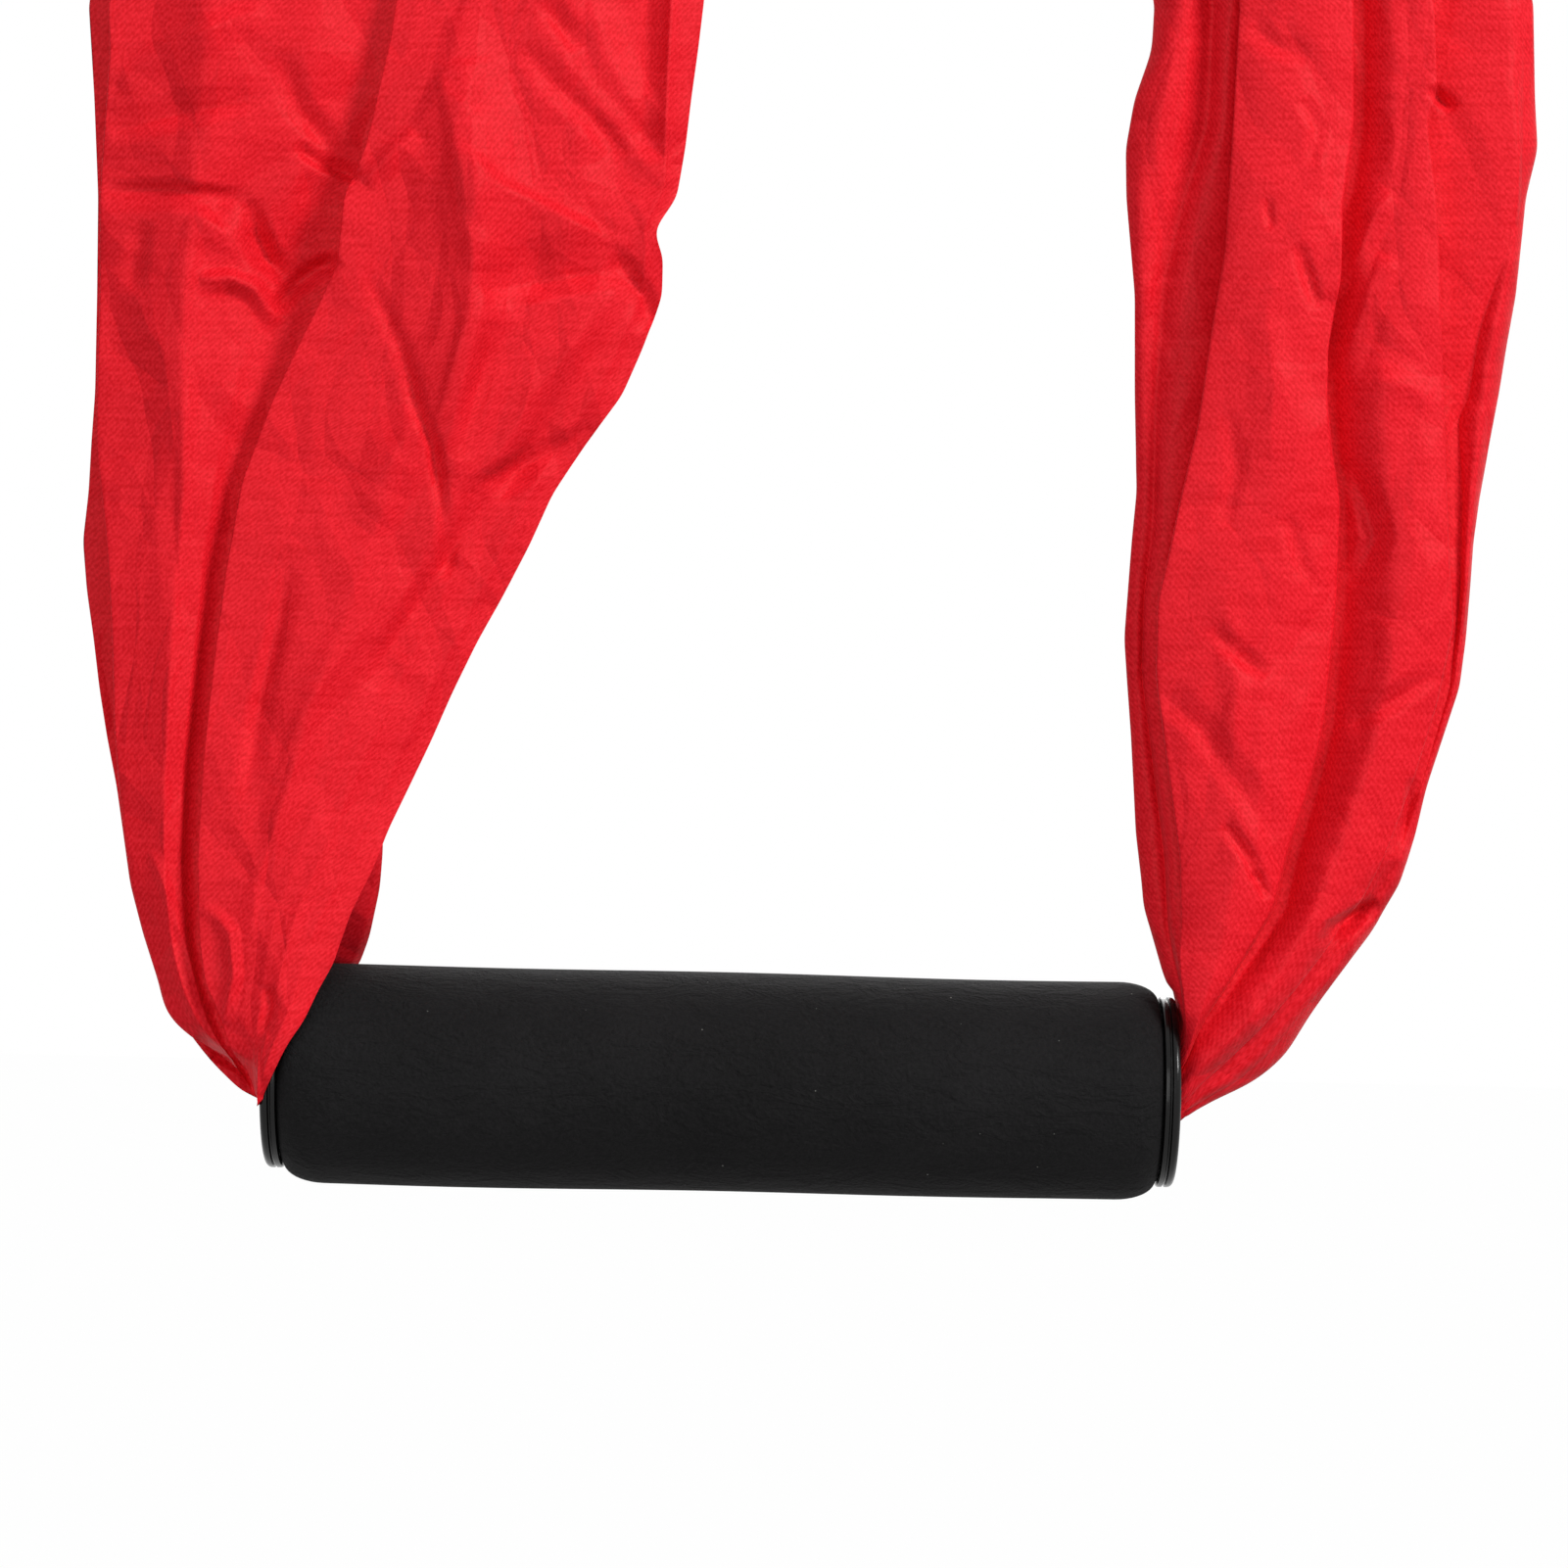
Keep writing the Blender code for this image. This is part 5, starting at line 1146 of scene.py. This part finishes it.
def push_on(bm, ring, offset, widen=1.0):
    """Extrude an open ring of edges by an offset, widen it about its own middle, and return the new ring."""
    made = bmesh.ops.extrude_edge_only(bm, edges=ring)["geom"]
    verts = [part for part in made if isinstance(part, bmesh.types.BMVert)]
    bmesh.ops.translate(bm, verts=verts, vec=offset)
    middle = sum((v.co for v in verts), Vector()) / len(verts)
    bmesh.ops.scale(bm, verts=verts, vec=(widen,) * 3, space=Matrix.Translation(-middle))
    return [part for part in made if isinstance(part, bmesh.types.BMEdge)]


def bend_on(bm, ring, centre, degrees, steps):
    """Sweep an open ring of edges round an axis along Y, and return its last place."""
    geom = ring + list({v for edge in ring for v in edge.verts})
    made = bmesh.ops.spin(bm, geom=geom, cent=centre, axis=(0, 1, 0), angle=math.radians(degrees), steps=steps)
    return [part for part in made["geom_last"] if isinstance(part, bmesh.types.BMEdge)]


bm = bmesh.new()
first = bmesh.ops.create_circle(bm, segments=36, radius=wire_radius - shoulder)["verts"]
bmesh.ops.translate(bm, verts=first, vec=(bow_radius, 0, latch_z + gate_radius + end_gap))
ring = list(bm.edges)
caps = [list(ring)]
widths = [wire_radius - shoulder * (1 - math.sin(a)) for a in shoulder_angles]
rises = [shoulder * (1 - math.cos(a)) for a in shoulder_angles]
for k in range(3):
    ring = push_on(bm, ring, (0, 0, rises[k + 1] - rises[k]), widths[k + 1] / widths[k])
start_z = latch_z + gate_radius + end_gap + shoulder
ring = bend_on(bm, ring, (0, 0, start_z), -180, 56)
low_z = bar_z + corner_radius
for _ in range(2):
    ring = push_on(bm, ring, (0, 0, (low_z - start_z) / 2))
ring = bend_on(bm, ring, (-bow_radius + corner_radius, 0, low_z), -90, 20)
for _ in range(2):
    ring = push_on(bm, ring, (bow_radius - corner_radius, 0, 0))
ring = bend_on(bm, ring, (bow_radius - corner_radius, 0, low_z), -low_bend, 18)
for k in range(3):
    ring = push_on(bm, ring, (-end_drift, 0, rises[3 - k] - rises[2 - k]), widths[2 - k] / widths[3 - k])
caps.append(list(ring))
for loop in caps:
    bmesh.ops.edgeloop_fill(bm, edges=loop)

# the tongues: a flat plate with a round end about its pin
for pin_z, way in ((latch_z, 1), (hinge_z, -1)):
    outline = [(x, -way * z) for x, z in arc((0, 0), (tongue_radius, tongue_radius), 0, 180, 18)]
    back = way * (gate_radius + end_gap + tongue_root)
    outline += [(-tongue_radius, back), (tongue_radius, back)]
    corners = [bm.verts.new((bow_radius + x, -tongue_thickness / 2, pin_z + z)) for x, z in outline]
    plate = bm.faces.new(corners)
    made = bmesh.ops.extrude_face_region(bm, geom=[plate])["geom"]
    far = [part for part in made if isinstance(part, bmesh.types.BMVert)]
    bmesh.ops.translate(bm, verts=far, vec=(0, tongue_thickness, 0))
    rims = [e for e in bm.edges if all(v in corners for v in e.verts) or all(v in far for v in e.verts)]
    bmesh.ops.bevel(bm, geom=rims, offset=tongue_edge, segments=3, profile=0.5, affect="EDGES", material=-1)
bmesh.ops.recalc_face_normals(bm, faces=bm.faces)
finished("hook_wire", smooth_shaded(bm, 34), tumbled_steel, "hook", ["hook_body"])


# Gate: a turned steel rod, forked at both ends. The lower fork straddles the hinge tongue, and the
# upper one has two open hooks that close on the latch pin. A spring and a plunger inside shut it.
fork_room = 0.0003  # between a fork and the tongue that it straddles
slot_half = tongue_thickness / 2 + fork_room
gate_top = latch_z + gate_radius
gate_edge = 0.0008
latch_room = 0.0016


def kept_side(bm, at, normal):
    """Keep what lies behind a plane, and close the cut."""
    geom = bm.verts[:] + bm.edges[:] + bm.faces[:]
    bmesh.ops.bisect_plane(bm, geom=geom, dist=1e-7, plane_co=at, plane_no=normal, clear_outer=True)
    bmesh.ops.holes_fill(bm, edges=[edge for edge in bm.edges if edge.is_boundary], sides=0)


rod_profile = [(0.0, -gate_radius)]
rod_profile += arc((0, 0), (gate_radius, gate_radius), -80, 0, 8)
rod_profile += [(gate_radius, 0.006), (gate_radius, gate_top - hinge_z - gate_edge)]
rod_profile += arc((gate_radius - gate_edge, gate_top - hinge_z - gate_edge), (gate_edge, gate_edge), 30, 90, 2)
rod_profile += [(0.0, gate_top - hinge_z)]
low_cut = hinge_z + tongue_radius + fork_room
high_cut = latch_z - tongue_radius - end_gap
bits = [[((0, 0, low_cut), (0, 0, -1)), ((0, 0, high_cut), (0, 0, 1))]]
for way in (-1, 1):
    cheek = ((0, way * slot_half, 0), (0, -way, 0))
    bits.append([cheek, ((0, 0, low_cut), (0, 0, 1))])
    bits.append([cheek, ((0, 0, high_cut), (0, 0, -1)), ((0, 0, latch_z - latch_room), (0, 0, 1))])
    bits.append(
        [
            cheek,
            ((0, 0, latch_z - latch_room), (0, 0, -1)),
            ((0, 0, latch_z + latch_room), (0, 0, 1)),
            ((bow_radius - latch_room, 0, 0), (1, 0, 0)),
        ]
    )
    bits.append([cheek, ((0, 0, latch_z + latch_room), (0, 0, -1))])
gate_mesh = bpy.data.meshes.new("gate_bits")
whole = bmesh.new()
for cuts in bits:
    bm = turned([(z, r) for r, z in rod_profile], 40, closed=False)
    bmesh.ops.rotate(bm, verts=bm.verts, cent=(0, 0, 0), matrix=Matrix.Rotation(math.radians(-90), 3, "Y"))
    bmesh.ops.translate(bm, verts=bm.verts, vec=(bow_radius, 0, hinge_z))
    for at, normal in cuts:
        kept_side(bm, at, normal)
    bmesh.ops.recalc_face_normals(bm, faces=bm.faces)
    bm.to_mesh(gate_mesh)
    bm.free()
    whole.from_mesh(gate_mesh)
bpy.data.meshes.remove(gate_mesh)
finished("gate_rod", smooth_shaded(whole, 34), tumbled_steel, "gate", ["hook_gate"])


# Latch pin and hinge rivet: hard steel wire. The pin is pressed into the nose's tongue, and the
# rivet's two ends are domed over the gate's sides.
def pin_across(name, profile, steps, height, node):
    """Turn a pin that lies from front to back through the hook's open side."""
    bm = turned(profile, steps, closed=False)
    bmesh.ops.rotate(bm, verts=bm.verts, cent=(0, 0, 0), matrix=Matrix.Rotation(math.radians(90), 3, "Z"))
    bmesh.ops.translate(bm, verts=bm.verts, vec=(bow_radius, 0, height))
    finished(name, smooth_shaded(bm), tumbled_steel, "hook", [node])


pin_half = gate_radius - 0.0003
pin_edge = 0.0003
pin_flat = 0.0010  # the radius of its flat ends
profile = [(-pin_half, 0.0)] + arc((-pin_half + pin_edge, pin_flat), (pin_edge, pin_edge), 180, 90, 3)
profile += arc((pin_half - pin_edge, pin_flat), (pin_edge, pin_edge), 90, 0, 3) + [(pin_half, 0.0)]
pin_across("nose_pin", profile, 28, latch_z, "latch_pin")

head_x = 0.0040
head_radius = 0.0021
head_height = 0.0007
shank_radius = 0.0014
profile = [(-head_x - head_height, 0.0)] + arc((-head_x, 0.0), (head_height, head_radius), 162, 90, 6)
profile += [(-head_x, shank_radius), (head_x, shank_radius)]
profile += arc((head_x, 0.0), (head_height, head_radius), 90, 18, 6) + [(head_x + head_height, 0.0)]
pin_across("hinge_rivet", profile, 32, hinge_z, "gate_hinge_pin")


# Plunger and spring: a domed steel plunger and a coil of spring wire, out of sight in the gate's
# bore. The spring presses the plunger on the hinge tongue, which shuts the gate.

# Drawn spring wire: darker than the hook, with a faint grain that makes its shine uneven
spring_wire, tree, shader = principled("drawn_spring_steel", colour("#8f9092"), 0.34, Metallic=1.0)
place = add_node(tree, "ShaderNodeTexCoord").outputs["Object"]
wire_grain = add_node(tree, "ShaderNodeTexNoise", {"Vector": place, "Scale": 1 / 0.0003, "Detail": 3.0})
dull = add_node(tree, "ShaderNodeMapRange", {"Value": wire_grain.outputs[0], "To Min": 0.24, "To Max": 0.46})
tree.links.new(dull.outputs[0], shader.inputs["Roughness"])
coated("gate_plunger", tumbled_steel)
coated("gate_spring", spring_wire)


# Rope sling: 8 mm braided polyester, made endless, with a tight bight over the hook's bar and a wider
# one under the strip. Two sets of eight strands cross over and under each other round it.
rope_radius = 0.0040
high_radius = 0.0083
low_radius = 0.0135
low_middle_z = rope_low_z + low_radius
lean = math.asin((low_radius - high_radius) / (bar_z - low_middle_z))  # of the two runs towards each other
strands = 8  # each way round
rope_around = 96
rope_along = 528
strand_relief = 0.00055
strand_lay = 0.0245  # about how much rope one turn of a strand takes
strand_low = 0.45  # a strand's height where it dives under the next one, as a share of its crown's

route = []
for z, radius, begin, stop, count in (
    (bar_z, high_radius, lean, math.pi - lean, 90),
    (low_middle_z, low_radius, math.pi - lean, math.tau + lean, 150),
):
    angles = np.linspace(begin, stop, count)
    route.append(np.stack([radius * np.cos(angles), z + radius * np.sin(angles)], axis=1))
path = np.concatenate([route[0], route[1], route[0][:1]])
gone = np.concatenate([[0], np.cumsum(np.linalg.norm(np.diff(path, axis=0), axis=1))])
rope_length = float(gone[-1])
at = np.linspace(0, rope_length, rope_along + 1)
middle_y, middle_z = np.interp(at, gone, path[:, 0]), np.interp(at, gone, path[:, 1])
ahead = np.stack([np.gradient(middle_y), np.gradient(middle_z)], axis=1)
ahead[0] = ahead[-1] = (ahead[0] + ahead[-1]) / 2
ahead /= np.linalg.norm(ahead, axis=1, keepdims=True)
turns = round(rope_length / strand_lay)  # whole turns, so that the braid closes
around = np.linspace(0, math.tau, rope_around + 1)
one = strands * (around[None, :] / math.tau + turns * at[:, None] / rope_length)
two = strands * (around[None, :] / math.tau - turns * at[:, None] / rope_length)
over = (np.floor(one) + np.floor(two)) % 2 < 1
across = np.where(over, one % 1, two % 1)
lengthwise = np.where(over, two % 1, one % 1)
crown = np.sqrt(np.maximum(1 - (2 * across - 1) ** 2, 0))
crown *= strand_low + (1 - strand_low) * np.sin(math.pi * lengthwise)
radius = rope_radius - strand_relief + strand_relief * crown
outward = np.stack([-ahead[:, 1], ahead[:, 0]], axis=1)
points = np.stack(
    [
        radius * np.sin(around)[None, :],
        middle_y[:, None] + radius * np.cos(around)[None, :] * outward[:, :1],
        middle_z[:, None] + radius * np.cos(around)[None, :] * outward[:, 1:],
    ],
    axis=-1,
)
bm, cell_at = shaped_grid(points)
yarn_layer = bm.loops.layers.uv.new("yarns")
for face in bm.faces:
    cells = [cell_at[loop.vert.index] for loop in face.loops]
    row, column = min(cells)
    on_top = over[row, column]
    for loop, (r, c) in zip(face.loops, cells):
        a, b = (one[r, c], two[r, c]) if on_top else (two[r, c], one[r, c])
        loop[yarn_layer].uv = (a, b)
bmesh.ops.remove_doubles(bm, verts=bm.verts, dist=0.000004)
bmesh.ops.recalc_face_normals(bm, faces=bm.faces)

# Braided polyester: near-black filament strands of four yarns each, with a dull silky sheen. Each strand
# is painted lighter along its crown and darker at its edges, a painted shade where it dives under the next.
braided_polyester, tree, shader = principled(
    "braided_polyester", colour("#19191b"), 0.60, Specular_IOR_Level=0.22, Sheen_Weight=0.05, Sheen_Roughness=0.5
)
yarn_place = add_node(tree, "ShaderNodeUVMap", uv_map="yarns").outputs[0]
yarns_in_strand = 4
yarns = add_node(
    tree,
    "ShaderNodeTexWave",
    {"Vector": yarn_place, "Scale": yarns_in_strand * bands_apart, "Distortion": 0.6, "Detail": 2.0},
    bands_direction="X",
)
fuzz = add_node(tree, "ShaderNodeTexNoise", {"Vector": yarn_place, "Scale": 14.0, "Detail": 3.0})
yarn_apart = add_node(tree, "ShaderNodeSeparateXYZ", {0: yarn_place})
strand_share = add_node(tree, "ShaderNodeMath", {0: yarn_apart.outputs[0]}, operation="FRACT")
from_middle = add_node(tree, "ShaderNodeMath", {0: strand_share.outputs[0], 1: 0.5}, operation="SUBTRACT")
beside_middle = add_node(tree, "ShaderNodeMath", {0: from_middle.outputs[0]}, operation="ABSOLUTE")
# painted shade: 0.7 along a strand's crown, falling to 0 at its edges
painted_crown_light = add_node(
    tree,
    "ShaderNodeMapRange",
    {"Value": beside_middle.outputs[0], "From Min": 0.50, "From Max": 0.22, "To Max": 0.7},
)
yarn_bands_and_painted_shade = add_node(
    tree, "ShaderNodeMath", {0: yarns.outputs[1], 1: 0.3, 2: painted_crown_light.outputs[0]}, operation="MULTIPLY_ADD"
)
yarn_colour_and_painted_shade = add_node(
    tree,
    "ShaderNodeMix",
    {"Factor": yarn_bands_and_painted_shade.outputs[0], "A": colour("#050505"), "B": colour("#242428")},
    data_type="RGBA",
)
yarn_height = add_node(
    tree, "ShaderNodeMath", {0: fuzz.outputs[0], 1: 0.5, 2: yarns.outputs[1]}, operation="MULTIPLY_ADD"
)
yarn_bump = add_node(tree, "ShaderNodeBump", {"Height": yarn_height.outputs[0], "Strength": 0.5, "Distance": 0.00008})
tree.links.new(yarn_colour_and_painted_shade.outputs["Result"], shader.inputs["Base Color"])
tree.links.new(yarn_bump.outputs[0], shader.inputs["Normal"])
finished("rope_loop", smooth_shaded(bm, 60), braided_polyester, "sling", ["rope_sling"])


# Splice sleeve: heat-shrink tube over the place where the rope's two ends are sewn together. Its
# skin is faintly uneven over the braid, and its ends are drawn in.
sleeve_length = 0.0240
sleeve_inner = rope_radius + 0.0003
sleeve_wall = 0.0007
sleeve_half = sleeve_length / 2
sleeve_rim = 0.0003  # the wall left at the very ends
unevenness = 0.00003
profile = [(-sleeve_half, sleeve_inner), (-sleeve_half, sleeve_inner + sleeve_rim)]
for i in range(61):
    along = -sleeve_half + 0.0008 + (sleeve_length - 0.0016) * i / 60
    drawn_in = 0.00022 * math.exp(-(((abs(along) - sleeve_half) / 0.0016) ** 2))
    uneven = unevenness * math.sin(math.tau * along / 0.0031) * math.sin(math.tau * along / 0.0097)
    profile.append((along, sleeve_inner + sleeve_wall - 0.00005 - drawn_in + uneven))
profile += [(sleeve_half, sleeve_inner + sleeve_rim), (sleeve_half, sleeve_inner)]
bm = turned(profile, 72)
turn = Matrix.Rotation(lean, 3, "X") @ Matrix.Rotation(math.radians(90), 3, "Y")
bmesh.ops.rotate(bm, verts=bm.verts, cent=(0, 0, 0), matrix=turn)
side_reach = (high_radius + low_radius) / 2
spot = (0, side_reach * math.cos(lean), (bar_z + low_middle_z) / 2 + side_reach * math.sin(lean))
bmesh.ops.translate(bm, verts=bm.verts, vec=spot)

# Shrunk polyolefin: satin black, drawn tight, with a rippled skin
shrunk_tube, tree, shader = principled("shrunk_polyolefin", colour("#121214"), 0.42, Specular_IOR_Level=0.35)
place = add_node(tree, "ShaderNodeTexCoord").outputs["Object"]
pulled = add_node(tree, "ShaderNodeMapping", {"Vector": place, "Scale": (1 / 0.0016, 1 / 0.0016, 1 / 0.0045)})
ripples = add_node(tree, "ShaderNodeTexNoise", {"Vector": pulled.outputs[0], "Scale": 1.0, "Detail": 3.0})
skin = add_node(tree, "ShaderNodeBump", {"Height": ripples.outputs[0], "Strength": 0.45, "Distance": 0.00016})
sheen = add_node(tree, "ShaderNodeMapRange", {"Value": ripples.outputs[0], "To Min": 0.34, "To Max": 0.52})
tree.links.new(sheen.outputs[0], shader.inputs["Roughness"])
tree.links.new(skin.outputs[0], shader.inputs["Normal"])
finished("shrink_sleeve", smooth_shaded(bm), shrunk_tube, "sling", ["splice_sleeve"])
